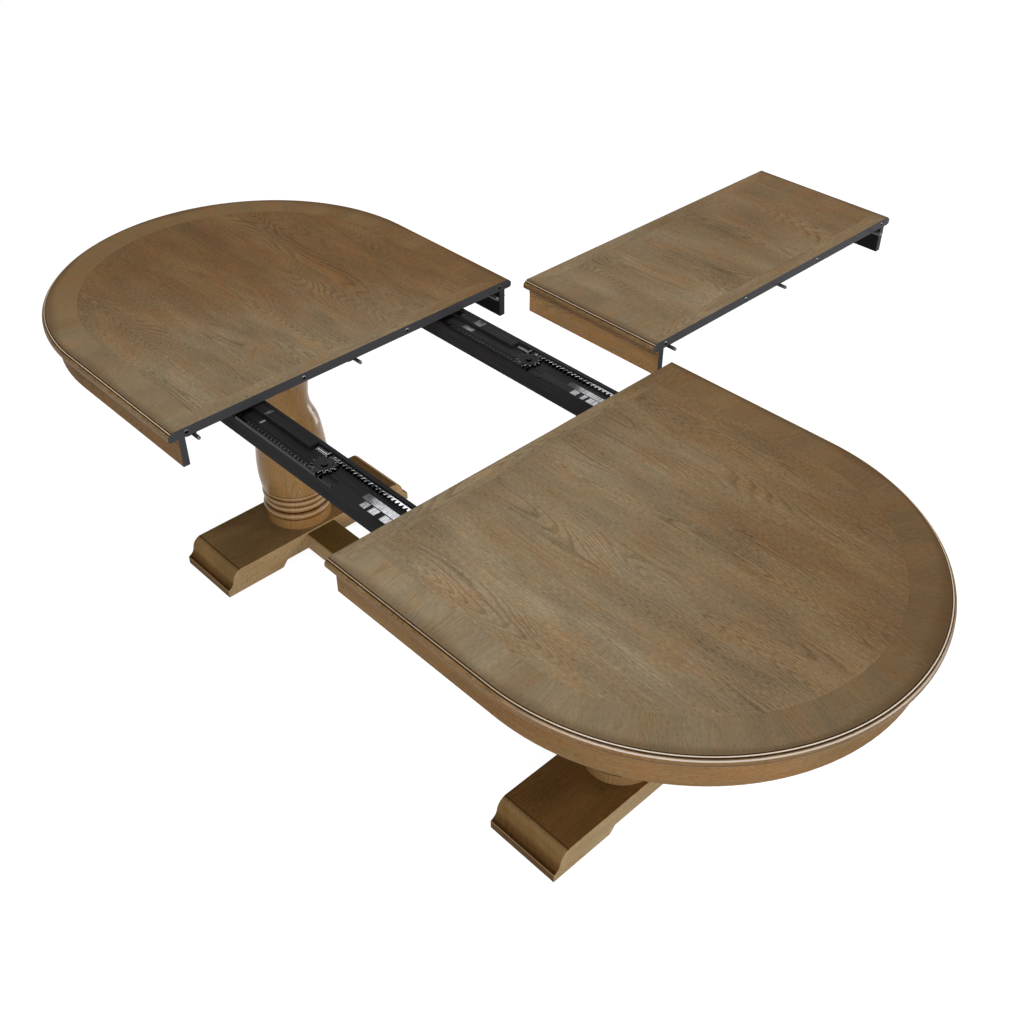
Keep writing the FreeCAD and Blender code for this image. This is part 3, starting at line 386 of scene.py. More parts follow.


# Each top's name, side and seed, how its painted sheen and its border's tone change to the metre
# across the table and away from the seam, each with its start, and its darkest tint, where the sheen is
# least.
tops = (
    ("left", -1, 3.0, (0.75, 0.95, -0.06), (-0.1, 0.72, -0.375), (0.95, 0.85, 0.73, 1)),
    ("right", 1, 11.0, (1.0, 0.45, -0.17), (-0.2, -0.48, -0.03), (0.92, 0.89, 0.86, 1)),
    ("leaf", 0, 23.0, (0.35, 0.6, -0.31), (0.0, 0.0, -0.2), (0.92, 0.89, 0.86, 1)),
)
for name, side, seed, sheen_change, rim_change, painted_shade_tint in tops:
    material, tree, point = new_material(f"{name}_top_veneer")
    spot = place_of(tree, point, side)
    x, y, z = split(tree, point)
    main = oak_on(tree, x, y, seed, top_dark, top_middle, top_light)
    block = cloudy(tree, stretched(tree, spot["Along"], 0.0, seed, run=7.0, spread=0.0), detail=1.0)
    rim_y, rim_behind, rim_start = rim_change
    rim_tone = slope(tree, y, rim_y, slope(tree, spot["Behind"], rim_behind, rim_start))
    block_tint = sum_up(tree, "MULTIPLY_ADD", block, block_share, rim_tone)
    rim = oak_on(tree, spot["Inward"], spot["Along"], seed + 3.0, rim_dark, top_middle, rim_light,
                 block_tint)
    band = oak_on(tree, y, x, seed + 5.0, top_dark, top_middle, top_light, band_lift)
    in_rim = sum_up(tree, "DIVIDE", spot["Inward"], border_wide)
    in_band = sum_up(tree, "DIVIDE", spot["Behind"], band_wide)
    nearest = sum_up(tree, "MINIMUM", in_rim, in_band)
    is_rim = product(tree, sum_up(tree, "LESS_THAN", in_rim, 1.0),
                     sum_up(tree, "LESS_THAN", in_rim, in_band))
    is_band = product(tree, sum_up(tree, "LESS_THAN", in_band, 1.0),
                      sum_up(tree, "LESS_THAN", in_band, in_rim))
    colour = between(tree, is_band, between(tree, is_rim, main["Color"], rim["Color"]), band["Color"])
    joint = near_to(tree, nearest, 1.0, joint_reach, joint_full)
    mitre = product(tree, sum_up(tree, "LESS_THAN", nearest, 1.0),
                    near_to(tree, in_rim, in_band, mitre_reach, mitre_full))
    lines = sum_up(tree, "MAXIMUM", joint, mitre)
    colour = between(tree, product(tree, lines, joint_share), colour, top_dark)
    wear_and_highlight = cloudy(tree, stretched(tree, spot["Along"], 0.0, seed + 9.0, run=2.5, spread=0.0), detail=1.0)
    glaze_run = sum_up(tree, "MULTIPLY_ADD", ease(tree, wear_and_highlight, 0.4, 0.65), glaze_more, glaze_least)
    glaze = ease(tree, sum_up(tree, "DIVIDE", spot["Inward"], glaze_run), 1.0, 0.0)
    colour = between(tree, product(tree, glaze, glaze_share), colour, glaze_brown)
    # Painted sheen: each top is painted lighter and greyer towards the near side and the seam, and
    # darker and warmer away from them, over soft random clouds of tint.
    clouds = speckled(tree, point, (2.2, 3.2, 1), detail=2.0, rough=0.5)
    sheen_y, sheen_behind, sheen_start = sheen_change
    tint_and_sheen_drift = slope(tree, clouds, cloud_share, slope(tree, spot["Behind"], sheen_behind, sheen_start))
    tint_and_sheen_drift = slope(tree, y, sheen_y, tint_and_sheen_drift)
    tint_and_painted_light = between(tree, ease(tree, tint_and_sheen_drift, 0.76, 0.0), painted_shade_tint, sheen_pale_tint)
    colour = between(tree, 1.0, colour, tint_and_painted_light, "MULTIPLY")
    # Painted shade: the right top is painted darker in a band along its seam.
    if name == "right":
        seam_shade = product(tree, ease(tree, spot["Behind"], seam_reach, seam_full), seam_shade_share)
        colour = between(tree, seam_shade, colour, seam_painted_shade, "MULTIPLY")
    colour, rough = painted_end(tree, spot["Behind"], colour, main["Roughness"])
    height = sum_up(tree, "SUBTRACT", main["Height"], lines)
    finish_surface(tree, colour, rough, height, depth=0.0004, strength=0.3, IOR=1.09)
    dress(material, f"{name}_panel")

# Moulding. Solid oak, bent round each half top and straight on the leaf, glued to the
# board's edge. Dark glaze is left in its quirk and groove, and its ends are painted black.
nose_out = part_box("right_edge")[1].y - field_half
top_thick = top - underside
# The outline's corners, as shares of the width out and of the board's thickness down, each
# with how far the run to the next corner bulges.
section = ((0, 1, 0), (0.5, 1, 0.41), (1, 0.56, 0.43), (0.46, 0.22, 0.8), (0.16, 0.12, 0), (0, 0.12, 0))
arc_runs = 10
end_steps = 120
soft_corner = math.radians(35)


def moulding_section():
    """The moulding's outline, as places out from the board and up, with its arcs in short runs."""
    spots = [Vector((out * nose_out, top - down * top_thick)) for out, down, bulge in section]
    outline = []
    for index, (out, down, bulge) in enumerate(section):
        first = spots[index]
        outline.append(first)
        if bulge == 0:
            continue
        chord = spots[(index + 1) % len(spots)] - first
        onward = chord.normalized()
        outside = Vector((chord.y, -chord.x)).normalized()
        radius = chord.length * (1 + bulge ** 2) / (4 * bulge)
        centre = first + chord / 2 - outside * (radius - bulge * chord.length / 2)
        half_turn = 2 * math.atan(bulge)
        for step in range(1, arc_runs):
            turn = half_turn * (2 * step / arc_runs - 1)
            outline.append(centre + radius * (outside * math.cos(turn) + onward * math.sin(turn)))
    widest = max(spot.x for spot in outline)
    return [Vector((spot.x * nose_out / widest, spot.y)) for spot in outline]


def new_piece(name, form, body):
    """A finished mesh as a piece that rides on a body."""
    mesh = bpy.data.meshes.new(name)
    form.to_mesh(mesh)
    form.free()
    piece = bpy.data.objects.new(name, mesh)
    bpy.context.scene.collection.objects.link(piece)
    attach(piece, body)
    return piece


def bent_moulding(name, side, body):
    """The moulding swept along one straight edge, round the end and back."""
    form = bmesh.new()
    ring = [form.verts.new((seam, -field_half - spot.x, spot.y)) for spot in moulding_section()]
    edges = [form.edges.new((ring[index - 1], ring[index])) for index in range(len(ring))]
    for go, turn in ((round_centre - seam, 0), (0, math.pi), (seam - round_centre, 0)):
        if turn:
            swept = bmesh.ops.spin(form, geom=ring + edges, cent=(round_centre, 0, 0), axis=(0, 0, 1),
                                   angle=turn, steps=end_steps, use_merge=False,
                                   use_duplicate=False)["geom_last"]
        else:
            swept = bmesh.ops.extrude_edge_only(form, edges=edges)["geom"]
        ring = [part for part in swept if isinstance(part, bmesh.types.BMVert)]
        edges = [part for part in swept if isinstance(part, bmesh.types.BMEdge)]
        bmesh.ops.translate(form, verts=ring, vec=(go, 0, 0))
    bmesh.ops.holes_fill(form, edges=[edge for edge in form.edges if edge.is_boundary], sides=0)
    bmesh.ops.scale(form, verts=form.verts, vec=(side, 1, 1))
    bmesh.ops.recalc_face_normals(form, faces=form.faces)
    for edge in form.edges:
        edge.smooth = edge.calc_face_angle(0.0) < soft_corner
    for face in form.faces:
        face.smooth = True
    piece = new_piece(f"{name}_smooth", form, body)
    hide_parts(name)
    return piece


# The bead's crown, and round the right half's near curve the nose's crown, carry painted highlights, and
# the nose's underside carries painted shade.
# Where its lines run, out from the board and down from the top, and along the edge from the
# middle of the end, less than nought on the near side.
quirk_reach, quirk_full = 0.0026, 0.0018
groove_out, groove_reach, groove_full = 0.0056, 0.0014, 0.0006
bead_out, crown_down = 0.0037, 0.0078
highlight_reach, highlight_core = 0.0016, 0.0008
shade_from, shade_to = 0.0125, 0.019
straight_to, curve_from, straight_bead = -0.88, -0.65, 0.45
curve_highlight_from, curve_highlight_full, curve_highlight_until, curve_highlight_to = -0.8, -0.55, 0.0, 0.25
bead_least, bead_more = 0.5, 0.6
bead_highlight_share, crown_highlight_share, glaze_share = 0.6, 0.8, 0.92
edge_tones = (0.09, 0.047, 0.019, 1), (0.155, 0.09, 0.038, 1), (0.22, 0.14, 0.066, 1)
bead_highlight_tan, bead_highlight_cream = (0.66, 0.5, 0.34, 1), (0.72, 0.64, 0.56, 1)
crown_highlight_tan = (0.52, 0.45, 0.39, 1)
nose_painted_shade = (0.62, 0.55, 0.52, 1)
edge_glaze = (0.012, 0.006, 0.003, 1)


def highlit_curve(tree, along, down, bead_highlight, colour):
    """A moulding's colour with painted highlights on its bead and the crown of its nose round the near
    curve.
    """
    crown_highlight = near_to(tree, down, crown_down, highlight_reach, highlight_core)
    highlit_round = product(tree, ease(tree, along, curve_highlight_from, curve_highlight_full),
                      ease(tree, along, curve_highlight_to, curve_highlight_until))
    bead_highlight = product(tree, bead_highlight, product(tree, highlit_round, bead_highlight_share))
    crown_highlight = product(tree, crown_highlight, product(tree, highlit_round, crown_highlight_share))
    return between(tree, crown_highlight, between(tree, bead_highlight, colour, bead_highlight_cream), crown_highlight_tan)


for name, side, seed in (("left", -1, 41.0), ("right", 1, 47.0), ("leaf", 0, 53.0)):
    material, tree, point = new_material(f"{name}_edge_oak")
    spot = place_of(tree, point, side)
    down = sum_up(tree, "SUBTRACT", top, split(tree, point)[2])
    round_it = sum_up(tree, "ADD", down, spot["Inward"])
    wood = oak_on(tree, spot["Along"], round_it, seed, *edge_tones, 0.05)
    out_from = product(tree, spot["Inward"], -1.0)
    quirk = ease(tree, out_from, quirk_reach, quirk_full)
    groove = near_to(tree, out_from, groove_out, groove_reach, groove_full)
    glaze = sum_up(tree, "MAXIMUM", quirk, groove)
    # Painted highlight: the bead's crown is painted pale, in patches along the edge, and on the right
    # half more strongly round the curve.
    bead_highlight = near_to(tree, out_from, bead_out, highlight_reach, highlight_core)
    wear_and_highlight = cloudy(tree, stretched(tree, spot["Along"], 0.0, seed, run=6.0, spread=0.0))
    bead_highlight = product(tree, bead_highlight, sum_up(tree, "MULTIPLY_ADD", wear_and_highlight, bead_more, bead_least))
    if name == "right":
        curved = ease(tree, spot["Along"], straight_to, curve_from)
        curved = sum_up(tree, "MULTIPLY_ADD", curved, 1 - straight_bead, straight_bead)
        bead_highlight = product(tree, bead_highlight, curved)
    colour = between(tree, bead_highlight, wood["Color"], bead_highlight_tan)
    if name == "right":
        colour = highlit_curve(tree, spot["Along"], down, bead_highlight, colour)
    # Painted shade on the nose's underside.
    colour = between(tree, ease(tree, down, shade_from, shade_to), colour, nose_painted_shade, "MULTIPLY")
    colour = between(tree, product(tree, glaze, glaze_share), colour, edge_glaze)
    rough = sum_up(tree, "MULTIPLY_ADD", wood["Roughness"], 0.2, 0.2)
    colour, rough = painted_end(tree, spot["Behind"], colour, rough)
    finish_surface(tree, colour, rough, wood["Height"], depth=0.0001, strength=0.1, IOR=1.14)
    dress(material, f"{name}_edge" if side else "leaf_edges")
    if side:
        bent_moulding(f"{name}_edge", side, f"{name}_half").data.materials.append(material)

# Aprons. Oak boards on edge under the tops, with a small bead along them. Their ends at
# the seam and their backs are sprayed black with the slides.
apron_tones = ((0.12, 0.062, 0.025), (0.175, 0.1, 0.043), (0.235, 0.147, 0.07))
spray_black = (0.012, 0.012, 0.012, 1)
spray_depth = 0.006


def lifted(tones, lift):
    """Colours made lighter or darker by one share, as painted light or shade."""
    return [[value * lift for value in tone] + [1] for tone in tones]


# Each apron's name, side, seed and painted light: how much lighter it is painted, the leaf's far lighter
# for the light it does not get.
aprons = (("left", -1, 61.0, 1.08), ("right", 1, 67.0, 0.99), ("leaf", 0, 71.0, 1.75))
for name, side, seed, lift in aprons:
    material, tree, point = new_material(f"{name}_apron_oak")
    spot = place_of(tree, point, side)
    wood = oak_on(tree, spot["Along"], split(tree, point)[2], seed, *lifted(apron_tones, lift))
    apron = f"{name}_apron" if side else "leaf_aprons"
    apron_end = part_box(apron)[1].y
    back = field_half - (apron_end if side else apron_end - leaf_middle.y) + spray_depth
    sprayed = sum_up(tree, "GREATER_THAN", spot["Inward"], back)
    colour = between(tree, sprayed, wood["Color"], spray_black)
    colour, rough = painted_end(tree, spot["Behind"], colour, wood["Roughness"])
    finish_surface(tree, colour, rough, wood["Height"], depth=0.0003, strength=0.25, IOR=1.06)
    dress(material, apron)

# Columns. Each is turned from one glued-up billet of oak, with its grain upright, and has
# a glossier lacquer than the tops. It is darker in the quirks between its rings, and the rings'
# crowns carry a painted highlight. The left column is painted warmer and the right darker and greyer, as
# painted light and shade.
ring_joints = (0.0626, 0.1068, 0.1473, 0.186, 0.2118)
quirk_tall, quirk_core = 0.0045, 0.001
crown_lift, crown_tall, crown_core = 0.003, 0.004, 0.001
turned_tones = (0.17, 0.093, 0.034, 1), (0.235, 0.138, 0.055, 1), (0.3, 0.19, 0.085, 1)
quirk_brown = (0.3, 0.22, 0.16, 1)
crown_tan, crown_highlight_share = (0.6, 0.47, 0.32, 1), 0.3
grain_round = 0.1
for name, seed, tint_and_painted_light in (("left", 81.0, (1.08, 1.0, 0.86, 1)), ("right", 87.0, (0.84, 0.82, 0.8, 1))):
    material, tree, point = new_material(f"{name}_column_oak")
    low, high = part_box(f"{name}_column")
    middle = (low + high) / 2
    x, y, z = split(tree, point)
    off_x = sum_up(tree, "SUBTRACT", x, middle.x)
    off_y = sum_up(tree, "SUBTRACT", y, middle.y)
    turn = sum_up(tree, "ARCTAN2", off_y, off_x)
    wood = oak_on(tree, z, product(tree, turn, grain_round), seed, *turned_tones, 0.05)
    colour = between(tree, 1.0, wood["Color"], tint_and_painted_light, "MULTIPLY")
    heights = [low.z + share * (high.z - low.z) for share in ring_joints]
    for height in heights:
        quirk = near_to(tree, z, height, quirk_tall, quirk_core)
        colour = between(tree, quirk, colour, quirk_brown, "MULTIPLY")
    for below, above_it in zip(heights[:-1], heights[1:]):
        crown_highlight = near_to(tree, z, (below + above_it) / 2 + crown_lift, crown_tall, crown_core)
        colour = between(tree, product(tree, crown_highlight, crown_highlight_share), colour, crown_tan)
    rough = sum_up(tree, "MULTIPLY_ADD", wood["Roughness"], 0.25, 0.1)
    finish_surface(tree, colour, rough, wood["Height"], depth=0.0001, strength=0.1, IOR=1.25)
    dress(material, f"{name}_column")

# Feet and stretcher. Solid oak blocks, sawn to an ogee at each end, with their grain
# along them, and the bar dowelled between them. Painted shade lies on their flat tops, on the ogee's
# end and in its hollow, their sides are painted lighter, and their eased edges carry a painted
# highlight.
sharp_bend = math.radians(30)
least_bend = math.radians(0.4)
flat_bend = math.radians(0.3)
weld_gap = 0.000002


def eased_copy(name, body, wide, above=-1.0, longest=10.0):
    """A CAD node's copy with the edges above a level eased, and its short eased faces marked for a
    painted highlight.
    """
    form = bmesh.new()
    form.from_mesh(nodes[name].data)
    bmesh.ops.remove_doubles(form, verts=form.verts, dist=weld_gap)
    bmesh.ops.dissolve_limit(form, angle_limit=flat_bend, verts=form.verts, edges=form.edges)
    rubbed = form.faces.layers.float.new("rubbed")
    sharp = []
    for edge in form.edges:
        bend = edge.calc_face_angle(0.0)
        edge.smooth = bend < sharp_bend
        if bend > sharp_bend and min(vert.co.z for vert in edge.verts) > above:
            sharp.append(edge)
    for face in form.faces:
        bends = [edge.calc_face_angle(0.0) for edge in face.edges]
        face.smooth = any(least_bend < bend < sharp_bend for bend in bends)
    eased = bmesh.ops.bevel(form, geom=sharp, offset=wide, offset_type="OFFSET", affect="EDGES",
                            segments=2, profile=0.5, material=-1, clamp_overlap=True)
    for face in eased["faces"]:
        face.smooth = True
        face[rubbed] = float(max(edge.calc_length() for edge in face.edges) < longest)
    piece = new_piece(f"{name}_eased", form, body)
    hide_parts(name)
    return piece


foot_tones = ((0.14, 0.085, 0.036), (0.21, 0.137, 0.064), (0.29, 0.2, 0.1))
foot_low, foot_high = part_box("left_foot")
ogee_long, step_tall, arris_thick = 0.045, 0.023, 0.004
arris = foot_high.y - ogee_long
step_top = foot_low.z + step_tall
hollow_top, hollow_low, hollow_base = step_top + 0.03, step_top + 0.006, step_top + 0.0005
crease_top, crease_low = step_top + 0.007, step_top + 0.002
lip_height, lip_reach, lip_full = step_top - 0.001, 0.002, 0.0008
swell_wide = 0.011
arris_reach, arris_full = 0.0024, 0.0008
level_from, level_to = 0.9, 0.99
hollow_stain, crease_stain = (0.52, 0.45, 0.36, 1), (0.45, 0.38, 0.3, 1)
end_stain, step_stain = (0.9, 0.8, 0.62, 1), (0.55, 0.5, 0.42, 1)
lip_pale, lip_share = (0.5, 0.4, 0.26, 1), 0.2
swell_pale, swell_share = (0.42, 0.3, 0.16, 1), 0.15
shaded_stain, shaded_from, shaded_to = (0.5, 0.42, 0.28, 1), 0.05, 0.2
rubbed_pale, rubbed_share, rubbed_less = (0.4, 0.31, 0.19, 1), 0.45, 0.75
arris_dark, arris_share = (0.035, 0.022, 0.01, 1), 0.8
edge_eased = 0.0018


def ogee_end(tree, out, z, past, end_face, colour):
    """A foot's colour with painted shade in its ogee's hollow and crease, on its end and on the step,
    and painted highlights on the lip and the swell.
    """
    hollow = product(tree, past, ease(tree, z, hollow_top, hollow_low))
    hollow = product(tree, hollow, end_face)
    hollow = product(tree, hollow, sum_up(tree, "GREATER_THAN", z, hollow_base))
    colour = between(tree, hollow, colour, hollow_stain, "MULTIPLY")
    crease = product(tree, hollow, ease(tree, z, crease_top, crease_low))
    colour = between(tree, crease, colour, crease_stain, "MULTIPLY")
    end = product(tree, past, end_face)
    colour = between(tree, end, colour, end_stain, "MULTIPLY")
    step = product(tree, end, sum_up(tree, "LESS_THAN", z, lip_height))
    colour = between(tree, step, colour, step_stain, "MULTIPLY")
    lip = near_to(tree, z, lip_height, lip_reach, lip_full)
    lip = product(tree, product(tree, lip, product(tree, past, lip_share)), end_face)
    colour = between(tree, lip, colour, lip_pale)
    swell = near_to(tree, out, arris + swell_wide, swell_wide, 0.0)
    swell = product(tree, swell, product(tree, past, swell_share))
    return between(tree, swell, colour, swell_pale)


# Each piece's name, the axis it lies along, its seed, how much lighter or darker it is painted as
# light or shade, and how far painted shade lies on its top, with that shade's tint and the painted light
# on its sides.
blocks = (
    ("left_foot", 1, 91.0, 1.1, 0.5, (0.55, 0.42, 0.22, 1), (1.35, 1.4, 1.5, 1)),
    ("right_foot", 1, 95.0, 0.85, 0.9, (0.57, 0.39, 0.19, 1), (1.5, 1.62, 1.75, 1)),
    ("stretcher", 0, 99.0, 1.15, 1.0, (0.36, 0.31, 0.17, 1), (1.3, 1.35, 1.5, 1)),
)
for name, along_axis, seed, lift, top_share, painted_shade_tint, pale in blocks:
    material, tree, point = new_material(f"{name}_oak")
    parts = split(tree, point)
    normal = split(tree, put(tree, "NewGeometry").outputs["Normal"])
    sideways = sum_up(tree, "ADD", parts[1 - along_axis], parts[2])
    wood = oak_on(tree, parts[along_axis], sideways, seed, *lifted(foot_tones, lift))
    # Painted shade on the flat top.
    level_top = ease(tree, normal[2], level_from, level_to)
    colour = between(tree, product(tree, level_top, top_share), wood["Color"], painted_shade_tint, "MULTIPLY")
    # Painted shadow on the left foot's top beyond the column.
    if name == "left_foot":
        far_end = product(tree, level_top, ease(tree, parts[1], shaded_from, shaded_to))
        colour = between(tree, far_end, colour, shaded_stain, "MULTIPLY")
    # Painted light: the sides are painted lighter.
    sides = ease(tree, sum_up(tree, "ABSOLUTE", normal[1 - along_axis]), level_from, level_to)
    colour = between(tree, sides, colour, pale, "MULTIPLY")
    # Painted highlight on the eased edges, weaker on the ogee's end.
    rubbed = put(tree, "Attribute", attribute_name="rubbed").outputs["Fac"]
    if along_axis == 1:
        out = sum_up(tree, "ABSOLUTE", parts[1])
        past = sum_up(tree, "GREATER_THAN", out, arris)
        colour = ogee_end(tree, out, parts[2], past, sum_up(tree, "SUBTRACT", 1.0, sides), colour)
        rubbed = product(tree, rubbed, sum_up(tree, "MULTIPLY_ADD", past, -rubbed_less, 1.0))
    colour = between(tree, product(tree, rubbed, rubbed_share), colour, rubbed_pale)
    if along_axis == 1:
        line = near_to(tree, out, arris, arris_reach, arris_full)
        line = product(tree, line, sum_up(tree, "GREATER_THAN", parts[2], foot_high.z - arris_thick))
        colour = between(tree, product(tree, line, arris_share), colour, arris_dark)
    finish_surface(tree, colour, wood["Roughness"], wood["Height"], depth=0.0003, strength=0.2, IOR=1.1)
    dress(material, name)
    eased_copy(name, "base", edge_eased).data.materials.append(material)

# Hidden woodwork. Bearers, plates, dowels and glue blocks are plain hardwood.
material, tree, point = new_material("plain_hardwood")
x, y, z = split(tree, point)
plain_tones = (0.12, 0.07, 0.035, 1), (0.24, 0.155, 0.085, 1), (0.36, 0.255, 0.15, 1)
wood = oak_on(tree, y, sum_up(tree, "ADD", x, z), 7.0, *plain_tones)
finish_surface(tree, wood["Color"], wood["Roughness"], wood["Height"], depth=0.0002, strength=0.3)
dress(material, "left_bearer", "right_bearer", "top_plates", "stretcher_dowels", "left_glue_blocks",
      "right_glue_blocks", "leaf_glue_blocks")

# Slides and seam rails. Hardwood bars sprayed matt black, with faint lines where the
# grain shows through the paint.
black_wood, tree, point = new_material("black_painted_wood")
x, y, z = split(tree, point)
grain_place = stretched(tree, x, sum_up(tree, "ADD", y, z), 0.0, run=6.0, spread=300.0)
grain = cloudy(tree, grain_place, detail=3.0, rough=0.6)
dust = speckled(tree, point, (9, 30, 30))
paint_tones = (0.008, 0.008, 0.008, 1), (0.016, 0.0157, 0.016, 1)
far_paint = (1.65, 1.55, 1.6, 1)
colour = between(tree, ease(tree, grain, 0.3, 0.7), *paint_tones)
# Painted light: the far slide's black is painted lighter.
colour = between(tree, ease(tree, y, -0.15, 0.25), colour, far_paint, "MULTIPLY")
rough = sum_up(tree, "MULTIPLY_ADD", dust, 0.3, 0.45)
finish_surface(tree, colour, rough, grain, depth=0.0002, strength=0.3, IOR=1.12)
dress(black_wood, "left_near_slide", "left_far_slide", "right_near_slide", "right_far_slide",
      "near_centre_rail", "far_centre_rail", "left_seam_rails", "right_seam_rails", "leaf_seam_rails")

# Raised strips. The bar that carries no rack stands as high as the rack beside it, or a
# little higher, as a strip of the same black painted wood along the member's top.
def line_of(gear):
    """Where a gear's middle is across the table."""
    low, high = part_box(gear)
    return (low.y + high.y) / 2


def bar(name, body, low, high, wide, paint):
    """A bar between two corners with eased edges."""
    form = bmesh.new()
    bmesh.ops.create_cube(form, size=1.0)
    bmesh.ops.scale(form, verts=form.verts, vec=high - low)
    bmesh.ops.translate(form, verts=form.verts, vec=(low + high) / 2)
    bmesh.ops.bevel(form, geom=form.edges[:], offset=wide, offset_type="OFFSET", affect="EDGES",
                    segments=2, profile=0.5, material=-1, clamp_overlap=True)
    piece = new_piece(name, form, body)
    piece.data.materials.append(paint)


# Where the strips begin and end along the table, and how far from the gear's line.
gear_line = {place: line_of(f"{place}_gear") for place in ("near", "far")}
member_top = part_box("left_near_rack")[0].z
rack_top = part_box("left_near_rack")[1].z
rail_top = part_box("near_centre_rail")[1].z
strip_start, strip_end = 0.072, 0.329
strip_inner, left_outer, right_outer = 0.0132, 0.0349, 0.0378
strip_above, strip_edge = 0.0018, 0.0008
strip_top = rack_top + strip_above
for place, line in gear_line.items():
    bar(f"{place}_left_strip", "left_half", Vector((strip_start, line - left_outer, member_top)),
        Vector((strip_end, line - strip_inner, rack_top)), strip_edge, black_wood)
    bar(f"{place}_right_strip", "right_half", Vector((-strip_end, line + strip_inner, member_top)),
        Vector((-strip_start, line + right_outer, strip_top)), strip_edge, black_wood)

# Wear plates. Brushed steel tiles lie in a row on the raised strips near the right half's
# seam, with a plain plate on the rail beside them. They are painted from dull to bright, as a painted
# reflection. A few duller ones, painted as glints, lie near the left half's seam.
wear_steel, tree, point = new_material("wear_plate_steel")
x, y, z = split(tree, point)
brushed = cloudy(tree, stretched(tree, y, x, 0.0, run=30.0, spread=500.0), detail=3.0, rough=0.6)
blotch = speckled(tree, point, (60, 60, 60), detail=2.0, rough=0.5)
dull_until, bright_from, uneven = 0.165, 0.225, 0.05
plate_tones = (0.03, 0.03, 0.032, 1), (0.27, 0.27, 0.28, 1)
scratch_cast, far_plate = (0.35, 0.35, 0.37, 1), (1.75, 1.75, 1.75, 1)
# Painted reflection: the plates are painted brighter towards the right, and lighter on the far slide.
bright = ease(tree, sum_up(tree, "MULTIPLY_ADD", blotch, uneven, x), dull_until, bright_from)
colour = between(tree, bright, *plate_tones)
colour = between(tree, ease(tree, brushed, 0.44, 0.6), colour, scratch_cast, "MULTIPLY")
colour = between(tree, ease(tree, y, -0.2, 0.2), colour, far_plate, "MULTIPLY")
rough = sum_up(tree, "MULTIPLY_ADD", brushed, 0.2, 0.2)
finish_surface(tree, colour, rough, brushed, depth=0.00005, strength=0.3, Metallic=1.0)


def blotched_steel(name, steps, blotch_to, dark, pale):
    """Steel with dull and bright blotches of painted glint, so many to the metre."""
    material, tree, point = new_material(name)
    blotch = speckled(tree, point, (steps, steps, steps), detail=2.0, rough=0.5)
    colour = between(tree, ease(tree, blotch, 0.35, blotch_to), dark, pale)
    finish_surface(tree, colour, 0.3, Metallic=1.0)
    return material


dull_steel = blotched_steel("dull_plate_steel", 60, 0.65, (0.03, 0.03, 0.031, 1), (0.13, 0.13, 0.135, 1))
glint_steel = blotched_steel("glint_steel", 40, 0.6, (0.05, 0.05, 0.052, 1), (0.22, 0.22, 0.225, 1))

plate_thick = 0.0007
plate_edge = 0.0002
# Each kind's body, how far from the gear's line it reaches, what it lies on and its steel.
plate_kinds = {
    "wear_tile": ("left_half", -0.0347, -0.0165, rack_top, wear_steel),
    "rail_plate": ("base", -0.0095, 0.011, rail_top, wear_steel),
    "rail_glint": ("base", -0.006, 0.0115, rail_top, glint_steel),
    "strip_glint": ("right_half", 0.0145, 0.0375, strip_top, dull_steel),
    "strip_tile": ("right_half", 0.0145, 0.0375, strip_top, dull_steel),
}
# Where the plates of each kind begin and end along the table.
plate_rows = (
    ("near", "wear_tile", ((0.163, 0.180), (0.190, 0.211), (0.226, 0.326))),
    ("far", "wear_tile", ((0.170, 0.188), (0.202, 0.213), (0.221, 0.326))),
    ("near", "rail_plate", ((0.138, 0.34),)),
    ("far", "rail_plate", ((0.135, 0.34),)),
    ("near", "rail_glint", ((-0.237, -0.231),)),
    ("far", "rail_glint", ((-0.236, -0.200),)),
    ("near", "strip_glint", ((-0.246, -0.236),)),
    ("far", "strip_tile", ((-0.318, -0.290), (-0.282, -0.262), (-0.216, -0.190))),
)
for place, kind, row in plate_rows:
    body, from_line, to_line, lies_on, steel = plate_kinds[kind]
    for number, (start, end) in enumerate(row, 1):
        name = f"{place}_{kind}_{number}" if len(row) > 1 else f"{place}_{kind}"
        low = Vector((start, gear_line[place] + from_line, lies_on))
        high = Vector((end, gear_line[place] + to_line, lies_on + plate_thick))
        bar(name, body, low, high, plate_edge, steel)

# Racks, gears, saddles and keepers. Blackened steel, oiled, with painted glints on the teeth's
# eased edges, and painted bright towards the right half, as a painted reflection.
material, tree, point = new_material("black_steel")
speckle = speckled(tree, point, (120, 120, 120))
blacking = (0.004, 0.004, 0.004, 1), (0.022, 0.022, 0.023, 1)
tooth_shine = (0.2, 0.195, 0.19, 1), (0.38, 0.38, 0.4, 1)
bare_steel = (0.36, 0.36, 0.37, 1)
black_until, bare_from, ragged = 0.17, 0.225, 0.02
colour = between(tree, ease(tree, speckle, 0.5, 0.8), *blacking)
rubbed = put(tree, "Attribute", attribute_name="rubbed").outputs["Fac"]
x = split(tree, point)[0]
shine = between(tree, ease(tree, x, -0.08, 0.2), *tooth_shine)
colour = between(tree, product(tree, rubbed, ease(tree, speckle, 0.35, 0.6)), colour, shine)
bare = ease(tree, sum_up(tree, "MULTIPLY_ADD", speckle, ragged, x), black_until, bare_from)
colour = between(tree, bare, colour, bare_steel)
rough = sum_up(tree, "MULTIPLY_ADD", speckle, 0.3, 0.15)
finish_surface(tree, colour, rough, speckle, depth=0.0001, strength=0.2, Metallic=1.0)
dress(material, "left_near_rack", "left_far_rack", "right_near_rack", "right_far_rack", "near_gear",
      "far_gear", "left_lock_saddles", "right_lock_keepers", "leaf_lock_saddles", "leaf_lock_keepers",
      "left_stop_brackets", "gear_pins")
tooth_edge, tooth_floor, tooth_longest = 0.0007, rack_top - 0.0005, 0.015
